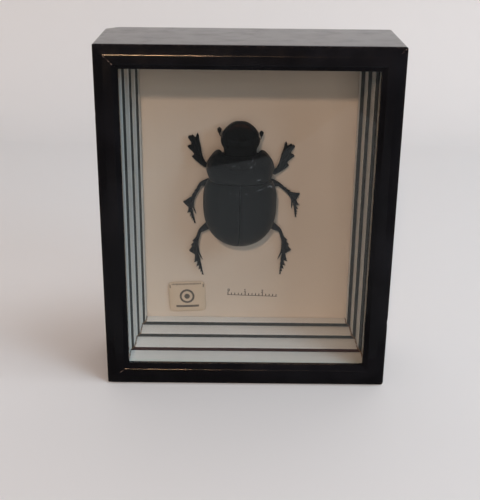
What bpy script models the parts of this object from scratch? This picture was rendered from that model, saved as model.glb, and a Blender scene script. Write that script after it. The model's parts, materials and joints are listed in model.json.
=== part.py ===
"""A dung beetle mounted in a glazed, black lacquered shadow box.

The box stands upright on its bottom rail. X runs to the right, Y to the back and Z up, and the
origin is the middle of the box's footprint. Lengths below are in millimetres.
"""

import math

import bmesh
import bpy
from mathutils import Vector

MM = 0.001

# ---- the box -------------------------------------------------------------------------------
WIDTH = 150.0
HEIGHT = 183.0
DEPTH = 54.5
GAP = 0.3  # between pieces that touch

LIP_INSET = 11.9  # how far the rail's face reaches in from the outer edge
LIP_BACK = 4.5  # depth of the rebate's front wall, from the very front
WALL = 6.0  # thickness of the rail beside the rebate
CHAMFER_INSET = 5.0  # the outer slope of the rail's face
CHAMFER_DEPTH = 1.8

GLASS_THICKNESS = 2.0
GLASS_FRONT = LIP_BACK + GAP
LINER_FRONT = GLASS_FRONT + GLASS_THICKNESS + GAP
CARD_FRONT = 51.1
CARD_THICKNESS = 0.6
BOARD_FRONT = CARD_FRONT + CARD_THICKNESS + GAP
BOARD_THICKNESS = 1.2
BOARD_BACK = BOARD_FRONT + BOARD_THICKNESS

# The liner's four treads, each as its inset from the box's edge and the depth where it ends.
TREADS = ((10.4, 20.4), (12.5, 32.8), (14.5, 44.0), (16.6, CARD_FRONT - GAP))

POINT_LENGTH = 8.0
POINT_WIDTH = 4.6
POINT_THICKNESS = 0.3
HANGER_WIDTH = 42.0
HANGER_HEIGHT = 8.0
HANGER_THICKNESS = 0.4
HANGER_TEETH = 9
HANGER_TOOTH = 1.6
HANGER_PIN_RADIUS = 1.6
HANGER_Z = HEIGHT - 24.0

SACHET_SIZE = (21.8, 19.2, 3.0)
SACHET_CENTRE = (-34.0, 29.8)
SACHET_TILT = math.radians(-2.5)

# ---- the beetle, measured from the tip of its wing cases, on the card's face -----------------
BEETLE_X = -4.1
BEETLE_Z = 66.8
ELYTRA_LENGTH = 38.4
ELYTRA_HALF_WIDTH = 20.0
ELYTRA_WIDEST = 25.0
ELYTRA_RISE = 12.5
PRONOTUM_FRONT = 54.4
PRONOTUM_HALF_WIDTH = 18.0
PRONOTUM_WIDEST = 44.0
PRONOTUM_RISE = 12.0
HEAD_TIP = 70.2
HEAD_HALF_WIDTH = 10.4
HEAD_WIDEST = 60.0
SEAM_HEIGHT = 12.5  # height above the card of the body's widest line
BELLY_HEIGHT = 0.4

# Each leg: hip, knee, the shin's length and angle, the foot's length and angle. Angles are
# measured outward from straight ahead for the forelegs and from straight back for the others.
LEGS = {
    "fore_left": ((-9.5, 46.0), (-18.3, 43.9), 19.4, 22.0, None, None),
    "fore_right": ((9.5, 46.0), (18.3, 40.2), 19.4, 27.5, None, None),
    "middle_left": ((-10.5, 36.0), (-21.6, 33.2), 13.9, 29.5, 10.8, -11.0),
    "middle_right": ((10.5, 36.0), (21.6, 33.4), 12.6, 50.0, 9.8, 3.0),
    "hind_left": ((-10.5, 14.0), (-22.2, 5.6), 14.0, 13.5, 13.2, -18.5),
    "hind_right": ((10.5, 14.0), (22.6, 6.5), 14.0, 15.5, 13.0, -9.5),
}
HIP_HEIGHT = 4.2
KNEE_HEIGHT = 5.2
ANKLE_HEIGHT = 3.6
TOE_HEIGHT = 1.6
SHIN_THICKNESS = 1.3
KNEE_CLEARANCE = 1.2

# Shin outlines for a leg of unit length: along the shin, and outward from its middle line.
FORE_SHIN = (
    (0.00, -0.045), (0.28, -0.042), (0.50, -0.062), (0.75, -0.108), (0.99, -0.135),
    (0.84, -0.010), (0.995, 0.030), (1.00, 0.133), (0.775, 0.145), (0.745, 0.250),
    (0.495, 0.170), (0.420, 0.237), (0.21, 0.115), (0.00, 0.045),
)
REAR_SHIN = (
    (0.00, -0.060), (0.30, -0.070), (0.60, -0.105), (0.86, -0.130), (1.03, -0.100),
    (0.97, 0.030), (0.98, 0.215), (0.80, 0.110), (0.70, 0.165), (0.55, 0.085),
    (0.44, 0.125), (0.30, 0.065), (0.00, 0.060),
)

# ---- materials -------------------------------------------------------------------------------
FINISHES = {
    "lacquer": ((0.012, 0.012, 0.014), 0.25, 0.0),
    "glass": ((0.93, 0.96, 0.95), 0.02, 0.0),
    "liner": ((0.80, 0.79, 0.75), 0.8, 0.0),
    "card": ((0.72, 0.66, 0.56), 0.9, 0.0),
    "board": ((0.23, 0.13, 0.07), 0.8, 0.0),
    "steel": ((0.55, 0.53, 0.50), 0.35, 1.0),
    "packet": ((0.78, 0.74, 0.66), 0.7, 0.0),
    "shell": ((0.012, 0.011, 0.011), 0.35, 0.0),
}


def make_materials():
    made = {}
    for name, (colour, roughness, metallic) in FINISHES.items():
        material = bpy.data.materials.new(name)
        material.use_nodes = True
        shader = material.node_tree.nodes["Principled BSDF"]
        shader.inputs["Base Color"].default_value = (*colour, 1.0)
        shader.inputs["Roughness"].default_value = roughness
        shader.inputs["Metallic"].default_value = metallic
        made[name] = material
    return made


def finish_mesh(name, bm, material, parent, smooth=False):
    """Turn a bmesh in millimetres into a named object with its faces pointing out."""
    bmesh.ops.recalc_face_normals(bm, faces=bm.faces)
    bmesh.ops.scale(bm, vec=Vector((MM, MM, MM)), verts=bm.verts)
    mesh = bpy.data.meshes.new(name)
    bm.to_mesh(mesh)
    bm.free()
    mesh.materials.append(material)
    if smooth:
        mesh.shade_smooth()
        mesh.set_sharp_from_angle(angle=math.radians(40))
    piece = bpy.data.objects.new(name, mesh)
    bpy.context.collection.objects.link(piece)
    piece.parent = parent
    return piece


def place(piece, location, rotation=(0.0, 0.0, 0.0)):
    piece.location = Vector(location) * MM
    piece.rotation_euler = rotation
    return piece


def make_empty(name, location, rotation=(0.0, 0.0, 0.0), parent=None):
    empty = bpy.data.objects.new(name, None)
    bpy.context.collection.objects.link(empty)
    empty.parent = parent
    return place(empty, location, rotation)


def loft(sections):
    """A closed body through rings of points, each ring with the same number of points."""
    bm = bmesh.new()
    rings = [[bm.verts.new(point) for point in section] for section in sections]
    for ring, following in zip(rings, rings[1:]):
        for i in range(len(ring)):
            j = (i + 1) % len(ring)
            bm.faces.new((ring[i], ring[j], following[j], following[i]))
    bm.faces.new(rings[0])
    bm.faces.new(rings[-1])
    return bm


def plate(outline, low, high):
    """An outline in X and Y, made into a plate between two heights."""
    return loft([[(x, y, z) for x, y in outline] for z in (low, high)])


def box(size, centre):
    bm = bmesh.new()
    bmesh.ops.create_cube(bm, size=1.0)
    bmesh.ops.scale(bm, vec=Vector(size), verts=bm.verts)
    bmesh.ops.translate(bm, vec=Vector(centre), verts=bm.verts)
    return bm


# ---- frame rails and liner ---------------------------------------------------------------------
def sides():
    """The four sides, each as the place and turn that put a strip made along X, with its inner
    edge up and its back towards +Y, along that side, and the side's outer length."""
    return {
        "bottom": ((0.0, 0.0, 0.0), 0.0, WIDTH),
        "top": ((0.0, 0.0, HEIGHT), math.pi, WIDTH),
        "left": ((-WIDTH / 2, 0.0, HEIGHT / 2), math.pi / 2, HEIGHT),
        "right": ((WIDTH / 2, 0.0, HEIGHT / 2), -math.pi / 2, HEIGHT),
    }


def mitred_strip(profile, length):
    """A profile of inset and depth points, run along X and cut at 45 degrees at both ends."""
    setback = GAP / math.sqrt(2)
    sections = []
    for end in (-1, 1):
        sections.append([(end * (length / 2 - inset - setback), depth, inset) for inset, depth in profile])
    return loft(sections)


def rail_profile():
    face = [
        (0.0, CHAMFER_DEPTH + 0.7),
        (0.25, CHAMFER_DEPTH + 0.1),
        (0.9, CHAMFER_DEPTH - 0.4),
        (CHAMFER_INSET - 0.7, 0.22),
        (CHAMFER_INSET, 0.04),
        (CHAMFER_INSET + 0.8, 0.0),
        (8.0, 0.0),
        (9.3, 0.16),
        (9.75, 0.36),
        (LIP_INSET - 0.3, 1.9),
        (LIP_INSET, 2.3),
    ]
    rebate = [(LIP_INSET, LIP_BACK), (WALL, LIP_BACK), (WALL, DEPTH)]
    return face + rebate + [(0.0, DEPTH)]


def liner_profile():
    outer = WALL + GAP
    points = [(outer, LINER_FRONT)]
    start = LINER_FRONT
    for inset, end in TREADS:
        points += [(inset, start), (inset, end)]
        start = end
    return points + [(outer, start)]


def make_strips(box_frame, materials):
    profiles = {"rail": (rail_profile(), "lacquer"), "liner": (liner_profile(), "liner")}
    for kind, (profile, finish) in profiles.items():
        for side, (location, turn, length) in sides().items():
            piece = finish_mesh(f"{kind}_{side}", mitred_strip(profile, length), materials[finish], box_frame)
            place(piece, location, (0.0, turn, 0.0))


# ---- glass, card and back ------------------------------------------------------------------------
def make_panels(box_frame, materials):
    size = (WIDTH - 2 * (WALL + GAP), HEIGHT - 2 * (WALL + GAP))
    panels = {
        "glass_pane": (GLASS_FRONT, GLASS_THICKNESS, "glass"),
        "backing_card": (CARD_FRONT, CARD_THICKNESS, "card"),
        "back_board": (BOARD_FRONT, BOARD_THICKNESS, "board"),
    }
    for name, (front, thickness, finish) in panels.items():
        middle = (0.0, front + thickness / 2, HEIGHT / 2)
        finish_mesh(name, box((size[0], thickness, size[1]), middle), materials[finish], box_frame)


def make_framer_points(box_frame, materials):
    """Flat diamond points that hold the back board, two to a side."""
    low = BOARD_BACK + GAP
    outline = ((0.0, -POINT_LENGTH / 2), (POINT_WIDTH / 2, 0.0), (0.0, POINT_LENGTH / 2), (-POINT_WIDTH / 2, 0.0))
    inset = WALL + GAP + POINT_LENGTH / 2
    for side, (location, turn, length) in sides().items():
        holder = make_empty(f"{side}_points", location, (0.0, turn, 0.0), box_frame)
        for number, along in enumerate((-length / 4, length / 4), start=1):
            bm = plate(outline, 0.0, POINT_THICKNESS)
            piece = finish_mesh(f"framer_point_{side}_{number}", bm, materials["steel"], holder)
            place(piece, (along, low + POINT_THICKNESS, inset), (math.pi / 2, 0.0, 0.0))


def make_hanger(box_frame, materials):
    """A sawtooth hanger on the back board: a strip with teeth along its lower edge, and two pins."""
    half = HANGER_WIDTH / 2
    tooth_span = HANGER_WIDTH * 0.5
    outline = [(-half, HANGER_HEIGHT / 2), (-half, -HANGER_HEIGHT / 2), (-tooth_span / 2, -HANGER_HEIGHT / 2)]
    pitch = tooth_span / HANGER_TEETH
    for i in range(HANGER_TEETH):
        left = -tooth_span / 2 + i * pitch
        outline.append((left + pitch / 2, -HANGER_HEIGHT / 2 + HANGER_TOOTH))
        outline.append((left + pitch, -HANGER_HEIGHT / 2))
    outline += [(half, -HANGER_HEIGHT / 2), (half, HANGER_HEIGHT / 2)]
    low = BOARD_BACK + GAP
    holder = make_empty("hanger_place", (0.0, low, HANGER_Z), (math.pi / 2, 0.0, math.pi), box_frame)
    finish_mesh("sawtooth_hanger", plate(outline, 0.0, HANGER_THICKNESS), materials["steel"], holder)
    head = HANGER_THICKNESS + GAP
    for name, x in (("left", half - 5.0), ("right", 5.0 - half)):
        ring = [
            (HANGER_PIN_RADIUS * math.cos(a), HANGER_PIN_RADIUS * math.sin(a))
            for a in (2 * math.pi * i / 12 for i in range(12))
        ]
        pin = finish_mesh(f"hanger_pin_{name}", plate(ring, 0.0, 0.3), materials["steel"], holder)
        place(pin, (x, 0.0, head))


def make_sachet(card_face, materials):
    """A small flat pillow of preservative, stuck to the card."""
    width, height, thickness = SACHET_SIZE
    levels = ((0.0, 0.90), (0.25, 1.0), (0.55, 0.97), (0.85, 0.80), (1.0, 0.50))
    outline = []
    for i in range(24):
        a = 2 * math.pi * (i + 0.5) / 24
        c, s = math.cos(a), math.sin(a)
        outline.append((math.copysign(abs(c) ** 0.35, c) * width / 2, math.copysign(abs(s) ** 0.35, s) * height / 2))
    sections = [[(x * k, y * k, GAP + t * thickness) for x, y in outline] for t, k in levels]
    piece = finish_mesh("preservative_sachet", loft(sections), materials["packet"], card_face, smooth=True)
    place(piece, (SACHET_CENTRE[0], SACHET_CENTRE[1], 0.0), (0.0, 0.0, -SACHET_TILT))


# ---- the beetle ------------------------------------------------------------------------------------
def elytra_half_width(v):
    if v < ELYTRA_WIDEST:
        return ELYTRA_HALF_WIDTH * math.sqrt(max(0.0, 1 - ((ELYTRA_WIDEST - v) / ELYTRA_WIDEST) ** 2.5))
    return ELYTRA_HALF_WIDTH * (1 - ((v - ELYTRA_WIDEST) / 26.0) ** 3)


def elytra_rise(v):
    reach = (v - 29.0) / (29.0 if v < 29.0 else 24.0)
    return ELYTRA_RISE * max(0.0, 1 - abs(reach) ** 2.6) ** 0.5


def pronotum_half_width(v):
    ahead = (v - PRONOTUM_WIDEST) / (14.6 if v > PRONOTUM_WIDEST else 14.0)
    return PRONOTUM_HALF_WIDTH * math.sqrt(1 - abs(ahead) ** (2.4 if v > PRONOTUM_WIDEST else 2.0))


def pronotum_rise(v):
    reach = (v - 42.0) / (13.6 if v > 42.0 else 16.0)
    return PRONOTUM_RISE * math.sqrt(1 - abs(reach) ** 2.2)


def head_half_width(v):
    if v > HEAD_WIDEST:
        return HEAD_HALF_WIDTH * math.sqrt(1 - ((v - HEAD_WIDEST) / (HEAD_TIP - HEAD_WIDEST + 0.1)) ** 2)
    return HEAD_HALF_WIDTH - 2.4 * ((HEAD_WIDEST - v) / 4.5) ** 2


def spaced(start, end, count):
    return [start + (end - start) * i / (count - 1) for i in range(count)]


def arch(v, half_width, rise, base, start=-1.0, end=1.0, steps=12):
    """Points over the back from one side to the other, at one station along the body."""
    points = []
    for t in spaced(start, end, steps + 1):
        height = base + rise * max(0.0, 1 - abs(t) ** 2.3) ** 0.55
        points.append((half_width * t, v, height))
    return points


def make_elytra(body, materials):
    """The two wing cases, each a half dome on the seam plane, meeting along the back's middle."""
    stations = [0.25 + (ELYTRA_LENGTH - 0.25) * (i / 13) ** 1.5 for i in range(14)]
    for name, side in (("left", -1), ("right", 1)):
        sections = []
        for v in stations:
            half = elytra_half_width(v)
            seam = GAP / 2 / half
            over = arch(v, half * side, elytra_rise(v), SEAM_HEIGHT, seam, 1.0, 9)
            sections.append(over + [(side * GAP / 2, v, SEAM_HEIGHT)])
        finish_mesh(f"beetle_elytron_{name}", loft(sections), materials["shell"], body, smooth=True)


def make_pronotum(body, materials):
    back = ELYTRA_LENGTH + GAP
    stations = spaced(back, PRONOTUM_FRONT, 9)
    sections = [arch(v, pronotum_half_width(v), pronotum_rise(v), SEAM_HEIGHT, steps=14) for v in stations]
    finish_mesh("beetle_pronotum", loft(sections), materials["shell"], body, smooth=True)


def make_head(body, materials):
    """The broad digging shield, thin at its front edge."""
    sections = []
    for v in spaced(PRONOTUM_FRONT + GAP, HEAD_TIP, 10):
        ahead = (v - PRONOTUM_FRONT) / (HEAD_TIP - PRONOTUM_FRONT)
        low = 8.8 + 1.2 * ahead
        half = max(head_half_width(v), 1.2)
        over = arch(v, half, 5.2 * (1 - ahead) + 0.8, low + 0.8, steps=10)
        sections.append(over + [(half * 0.9, v, low), (-half * 0.9, v, low)])
    finish_mesh("beetle_head", loft(sections), materials["shell"], body, smooth=True)


def make_underside(body, materials):
    """Breast and belly in one, keeled between the legs."""
    top = SEAM_HEIGHT - GAP
    sections = []
    for v in spaced(3.0, PRONOTUM_FRONT - 1.5, 12):
        half = 0.9 * (elytra_half_width(v) if v < ELYTRA_LENGTH else pronotum_half_width(v))
        reach = abs(v - 26.0) / 26.0
        drop = (top - BELLY_HEIGHT) * max(0.08, 1 - reach**2.2)
        ring = []
        for t in spaced(-1.0, 1.0, 11):
            ring.append((half * t, v, top - 0.4 - (drop - 0.4) * (1 - abs(t) ** 1.1)))
        sections.append(ring + [(half, v, top), (-half, v, top)])
    finish_mesh("beetle_underside", loft(sections), materials["shell"], body, smooth=True)


def sweep(path, half_widths, half_heights, steps=8):
    """A tapering limb: ellipses set square to a path that keeps near the card."""
    up = Vector((0.0, 0.0, 1.0))
    points = [Vector(p) for p in path]
    sections = []
    for i, point in enumerate(points):
        along = (points[min(i + 1, len(points) - 1)] - points[max(i - 1, 0)]).normalized()
        across = along.cross(up).normalized()
        lift = across.cross(along)
        ring = []
        for k in range(steps):
            a = 2 * math.pi * k / steps
            ring.append(point + across * half_widths[i] * math.cos(a) + lift * half_heights[i] * math.sin(a))
        sections.append(ring)
    return loft(sections)


def make_antennae(body, materials):
    """Short elbowed feelers with a flat club, coming out from under the head."""
    for name, side, lag in (("left", -1, 0.0), ("right", 1, -1.8)):
        path = ((8.6, 60.6, 7.4), (11.0, 61.2, 7.4), (11.2, 63.2, 7.4), (10.9, 66.2, 7.4))
        path = [(side * x, y + lag, z) for x, y, z in path]
        bm = sweep(path, (0.45, 0.5, 0.9, 0.8), (0.4, 0.45, 0.55, 0.45))
        finish_mesh(f"beetle_antenna_{name}", bm, materials["shell"], body, smooth=True)


def make_leg(name, body, materials):
    hip, knee, shin_length, shin_angle, foot_length, foot_angle = LEGS[name]
    side = -1 if name.endswith("left") else 1
    ahead = 1 if name.startswith("fore") else -1

    def heading(angle):
        return Vector((side * math.sin(math.radians(angle)), ahead * math.cos(math.radians(angle))))

    start = Vector(hip)
    end = Vector(knee)
    reach = (end - start).normalized()
    start_high = (*start, HIP_HEIGHT)
    end_high = (*(end - reach * KNEE_CLEARANCE), KNEE_HEIGHT)
    path = [Vector(start_high).lerp(Vector(end_high), t) for t in (0.0, 0.35, 0.75, 1.0)]
    thigh = sweep(path, (1.5, 2.3, 1.9, 1.1), (1.0, 1.2, 1.1, 0.8))
    finish_mesh(f"beetle_{name}_femur", thigh, materials["shell"], body, smooth=True)

    outline = FORE_SHIN if ahead > 0 else REAR_SHIN
    along = heading(shin_angle)
    outward = Vector((side * along.y * ahead, -side * along.x * ahead))
    drop = KNEE_HEIGHT - ANKLE_HEIGHT
    sections = []
    for level in (-SHIN_THICKNESS / 2, SHIN_THICKNESS / 2):
        ring = []
        for s, t in outline:
            point = end + along * (s * shin_length) + outward * (t * shin_length)
            ring.append((point.x, point.y, KNEE_HEIGHT - drop * s + level))
        sections.append(ring)
    finish_mesh(f"beetle_{name}_tibia", loft(sections), materials["shell"], body)

    if foot_length is None:
        return
    ankle = end + along * (shin_length * 1.06)
    toe = ankle + heading(foot_angle) * (foot_length - 0.06 * shin_length)
    path = [Vector((*ankle, ANKLE_HEIGHT)).lerp(Vector((*toe, TOE_HEIGHT)), t) for t in (0.0, 0.5, 1.0)]
    foot = sweep(path, (0.75, 0.6, 0.25), (0.5, 0.4, 0.25), steps=6)
    finish_mesh(f"beetle_{name}_tarsus", foot, materials["shell"], body, smooth=True)


def make_beetle(card_face, materials):
    body = make_empty("beetle", (BEETLE_X, BEETLE_Z, 0.0), parent=card_face)
    make_elytra(body, materials)
    make_pronotum(body, materials)
    make_head(body, materials)
    make_underside(body, materials)
    make_antennae(body, materials)
    for name in LEGS:
        make_leg(name, body, materials)


def main():
    for old in list(bpy.data.objects):
        bpy.data.objects.remove(old, do_unlink=True)
    materials = make_materials()
    box_frame = make_empty("box_front", (0.0, -DEPTH / 2, 0.0))
    make_strips(box_frame, materials)
    make_panels(box_frame, materials)
    make_framer_points(box_frame, materials)
    make_hanger(box_frame, materials)
    # On the card's face X is to the right, Y is up the card and Z comes out of it.
    card_face = make_empty("card_face", (0.0, CARD_FRONT, 0.0), (math.pi / 2, 0.0, 0.0), box_frame)
    make_sachet(card_face, materials)
    make_beetle(card_face, materials)


main()
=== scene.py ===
"""Looks of a mounted dung beetle in a glazed, black lacquered shadow box.

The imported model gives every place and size: X runs to the right, Y to the back and Z up. Shapes
below are worked out in millimetres and turned into metres when their mesh is made.
"""

import json
import math
import random

import bpy
import numpy as np
from mathutils import Matrix, Vector
from mathutils.geometry import delaunay_2d_cdt

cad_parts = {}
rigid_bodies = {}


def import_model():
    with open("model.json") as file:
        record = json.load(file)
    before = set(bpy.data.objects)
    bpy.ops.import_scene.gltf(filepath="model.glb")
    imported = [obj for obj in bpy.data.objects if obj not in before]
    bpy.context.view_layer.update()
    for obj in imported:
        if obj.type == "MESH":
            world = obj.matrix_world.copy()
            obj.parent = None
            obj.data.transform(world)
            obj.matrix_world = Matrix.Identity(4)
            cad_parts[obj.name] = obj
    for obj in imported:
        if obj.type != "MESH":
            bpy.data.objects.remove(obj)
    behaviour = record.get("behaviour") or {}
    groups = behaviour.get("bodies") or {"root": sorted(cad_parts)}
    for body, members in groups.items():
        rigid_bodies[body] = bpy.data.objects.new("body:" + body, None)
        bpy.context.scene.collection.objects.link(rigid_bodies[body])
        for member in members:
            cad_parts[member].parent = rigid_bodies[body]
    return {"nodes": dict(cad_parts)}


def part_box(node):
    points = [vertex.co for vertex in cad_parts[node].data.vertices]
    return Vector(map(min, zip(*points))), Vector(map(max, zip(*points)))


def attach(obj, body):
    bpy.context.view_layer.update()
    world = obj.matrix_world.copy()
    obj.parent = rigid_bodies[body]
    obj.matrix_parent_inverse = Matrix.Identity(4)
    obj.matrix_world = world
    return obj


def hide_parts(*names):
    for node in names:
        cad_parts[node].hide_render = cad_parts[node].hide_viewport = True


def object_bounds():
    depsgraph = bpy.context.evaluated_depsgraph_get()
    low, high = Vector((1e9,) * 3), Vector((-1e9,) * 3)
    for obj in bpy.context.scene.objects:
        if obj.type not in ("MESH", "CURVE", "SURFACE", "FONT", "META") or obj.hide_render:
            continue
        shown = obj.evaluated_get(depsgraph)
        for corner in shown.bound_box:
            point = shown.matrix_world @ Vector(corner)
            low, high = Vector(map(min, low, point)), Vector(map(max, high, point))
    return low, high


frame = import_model()
cad_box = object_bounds()

MM = 0.001
BODY = "root"
random.seed(7)


def span(node):
    """A CAD node's lowest and highest corner, in millimetres."""
    low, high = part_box(node)
    return Vector(low) / MM, Vector(high) / MM


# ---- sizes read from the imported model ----
BOX_LOW, BOX_HIGH = (Vector(corner) / MM for corner in cad_box)
WIDTH, DEPTH, HEIGHT = BOX_HIGH - BOX_LOW
FRONT = BOX_LOW.y
CARD_FACE = span("backing_card")[0].y
LIP_INSET = span("rail_bottom")[1].z
GLASS_BACK = span("glass_pane")[1].y
LINER_LOW, LINER_HIGH = span("liner_bottom")
BEETLE_X = (span("beetle_elytron_left")[1].x + span("beetle_elytron_right")[0].x) / 2
ELYTRA_START = 0.25
BEETLE_Z = span("beetle_elytron_left")[0].z - ELYTRA_START
SACHET_LOW, SACHET_HIGH = span("preservative_sachet")

# ---- the box, as insets from its edge and depths from its front ----
OUTER_ARRIS = (0.0, 1.71, 0.8)
OUTER_RIDGE = (4.93, 0.0, 0.35)
INNER_ARRIS = (9.32, 0.0, 0.35)
LIP_EDGE = (LIP_INSET, 2.15, 0.3)
LIP_BACK = 4.5
WALL = 6.0
MITRE_GAP = 0.04
RUB_WIDTH = 0.28
RIPPLE = 0.03
ARRIS_WEAR = 0.16
CORNER_RADIUS = {(-1, -1): 1.0, (1, -1): 2.1, (-1, 1): 0.9, (1, 1): 1.3}

# The liner's treads, each as its inset and the depth where it ends.
LINER_OUTER = 6.3
TREADS = ((10.4, 20.4), (12.5, 32.8), (14.5, 44.0), (LINER_HIGH.z, LINER_HIGH.y - FRONT))
LINER_START = LINER_LOW.y - FRONT
# The liner leans against the right rail, and on the left its white paper laps over its risers.
LINER_SHIFT = 0.3
LEFT_LAP = 0.6
LINER_GAP = 0.2

# ---- the beetle, measured from the tip of its wing cases, on the card's face ----
ELYTRA_LENGTH = 38.4
ELYTRA_HALF_WIDTH = 20.0
ELYTRA_WIDEST = 25.0
ELYTRA_PEAK, ELYTRA_RISE = 29.0, 12.5
PRONOTUM_PEAK, PRONOTUM_RISE = 42.0, 12.0
SEAM_HEIGHT = 12.5
HEAD_HEIGHT = 9.3
HIP_HEIGHT, KNEE_HEIGHT = 4.2, 5.2


# ---- Mesh tools ----
class Shape:
    """Points, faces, a material number per face and named values per point, kept in millimetres."""

    def __init__(self):
        self.points, self.faces, self.slots, self.count = [], [], [], 0
        self.values = {}

    def add(self, points, faces, slot=0, **values):
        points = np.asarray(points, float)
        for name in set(values) | set(self.values):
            column = self.values.setdefault(name, [np.zeros(self.count)])
            column.append(np.asarray(values.get(name, np.zeros(len(points))), float))
        self.points.append(points)
        self.faces += [[i + self.count for i in face] for face in faces]
        self.slots += [slot] * len(faces) if isinstance(slot, int) else list(slot)
        self.count += len(points)
        return self

    def joined(self):
        return np.concatenate(self.points)


def make_piece(name, shape, finishes, replaces=(), place=None, sharp=40.0):
    """Turn a shape into an object that rides on the box and stands for the named CAD nodes."""
    points = shape.joined()
    if place is not None:
        points = place(points)
    mesh = bpy.data.meshes.new(name)
    mesh.from_pydata((points * MM).tolist(), [], shape.faces)
    for finish in finishes:
        mesh.materials.append(FINISHES[finish])
    mesh.polygons.foreach_set("material_index", shape.slots)
    for label, columns in shape.values.items():
        layer = mesh.attributes.new(label, "FLOAT", "POINT")
        layer.data.foreach_set("value", np.concatenate(columns).astype(np.float32))
    mesh.validate()
    mesh.shade_smooth()
    mesh.set_sharp_from_angle(angle=math.radians(sharp))
    piece = bpy.data.objects.new(name, mesh)
    bpy.context.scene.collection.objects.link(piece)
    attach(piece, BODY)
    if replaces:
        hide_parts(*replaces)
    return piece


def on_card(points):
    """From the card's face (right, up the card, out of the card) to the box's frame."""
    points = np.asarray(points, float)
    return np.column_stack((points[:, 0], CARD_FACE - points[:, 2], points[:, 1]))


def on_beetle(points):
    """From the beetle's frame (right, towards the head, out of the card) to the box's frame."""
    return on_card(np.asarray(points, float) + np.array((BEETLE_X, BEETLE_Z, 0.0)))


def tilted(points, angle):
    """Points turned anticlockwise in their plane."""
    c, s = math.cos(angle), math.sin(angle)
    x, y, z = np.asarray(points, float).T
    return np.column_stack((c * x - s * y, s * x + c * y, z))


def value_noise(points, size, seed=0):
    """Smooth noise between -1 and 1 at 3-D points, with features of the given size."""
    cells = np.asarray(points, float) / size + 57.3 * (seed + 1)
    base = np.floor(cells).astype(np.int64)
    part = cells - base
    part = part * part * (3 - 2 * part)
    total = np.zeros(len(cells))
    for corner in range(8):
        step = np.array((corner & 1, corner >> 1 & 1, corner >> 2 & 1))
        key = (base + step) @ np.array((73856093, 19349663, 83492791))
        key = (key ^ (key >> 13)) * 1274126177 & 0x7FFFFFFF
        weight = np.prod(np.where(step == 1, part, 1 - part), axis=1)
        total += weight * (((key ^ (key >> 16)) & 0xFFFF) / 32767.5 - 1.0)
    return total


def smooth_ring(points, steps=6):
    """A closed Catmull-Rom curve through the points."""
    points = np.asarray(points, float)
    before, after, beyond = np.roll(points, 1, 0), np.roll(points, -1, 0), np.roll(points, -2, 0)
    curve = []
    for k in range(len(points)):
        for t in np.arange(steps) / steps:
            a = 2 * points[k] + (after[k] - before[k]) * t
            b = (2 * before[k] - 5 * points[k] + 4 * after[k] - beyond[k]) * t * t
            c = (3 * points[k] - before[k] - 3 * after[k] + beyond[k]) * t**3
            curve.append((a + b + c) / 2)
    return np.array(curve)


def cut_sides(points, step):
    """A closed outline with each side cut into equal steps no longer than the given one."""
    cut = []
    for start, end in zip(points, np.roll(points, -1, 0)):
        count = max(1, math.ceil(np.linalg.norm(end - start) / step))
        cut += [start + (end - start) * i / count for i in range(count)]
    return np.array(cut)


def edge_distance(points, ring):
    """How far each point lies from a closed outline."""
    start = ring
    along = np.roll(ring, -1, 0) - ring
    square = np.maximum((along**2).sum(1), 1e-12)
    found = []
    for part in np.array_split(points, max(1, len(points) // 3000)):
        offset = part[:, None, :] - start[None]
        share = clamp((offset * along).sum(2) / square)
        found.append(np.linalg.norm(offset - share[..., None] * along, axis=2).min(1))
    return np.concatenate(found)


def is_inside(points, ring):
    x, y = points[:, 0], points[:, 1]
    odd = np.zeros(len(points), bool)
    for (x1, y1), (x2, y2) in zip(ring, np.roll(ring, -1, 0)):
        if y1 != y2:
            crossing = (y1 > y) != (y2 > y)
            odd ^= crossing & (x < (x2 - x1) * (y - y1) / (y2 - y1) + x1)
    return odd


def shell(outline, top, bottom, spacing, rows=(0.03, 0.12, 0.3), step=None):
    """A closed body over an outline. top and bottom give heights from x, y and edge distance."""
    ring = cut_sides(np.asarray(outline, float), step or spacing)
    area = np.sum(ring[:, 0] * np.roll(ring[:, 1], -1) - np.roll(ring[:, 0], -1) * ring[:, 1])
    if area < 0:
        ring = ring[::-1]
    tangent = np.roll(ring, -1, 0) - np.roll(ring, 1, 0)
    tangent /= np.maximum(np.linalg.norm(tangent, axis=1)[:, None], 1e-9)
    inward = np.column_stack((-tangent[:, 1], tangent[:, 0]))
    layers = []
    for row in rows:
        moved = ring + inward * row
        keep = is_inside(moved, ring) & (edge_distance(moved, ring) > 0.85 * row)
        layers.append(moved[keep])
    low, high = ring.min(0), ring.max(0)
    across = np.arange(low[0], high[0], spacing)
    grid = []
    for i, y in enumerate(np.arange(low[1], high[1], spacing * 0.866)):
        grid.append(np.column_stack((across + (i % 2) * spacing / 2, np.full(len(across), y))))
    grid = np.concatenate(grid)
    grid = grid[is_inside(grid, ring)]
    grid = grid[edge_distance(grid, ring) > (rows[-1] if rows else 0) + spacing * 0.45]
    flat = np.concatenate([ring, *layers, grid])
    made = delaunay_2d_cdt([Vector(p) for p in flat], [], [list(range(len(ring)))], 1, 1e-5)
    flat = np.array([tuple(p) for p in made[0]])
    triangles = [list(face) for face in made[2]]
    distance = edge_distance(flat, ring)
    on_edge = distance < 1e-4
    x, y = flat[:, 0], flat[:, 1]
    low_z = bottom(x, y, distance)
    high_z = np.where(on_edge, low_z, top(x, y, distance))
    mirror = np.arange(len(flat))
    inner = np.flatnonzero(~on_edge)
    mirror[inner] = len(flat) + np.arange(len(inner))
    points = np.concatenate((np.column_stack((flat, high_z)), np.column_stack((flat, low_z))[inner]))
    faces = triangles + [[int(mirror[i]) for i in reversed(face)] for face in triangles]
    return points, faces


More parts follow.
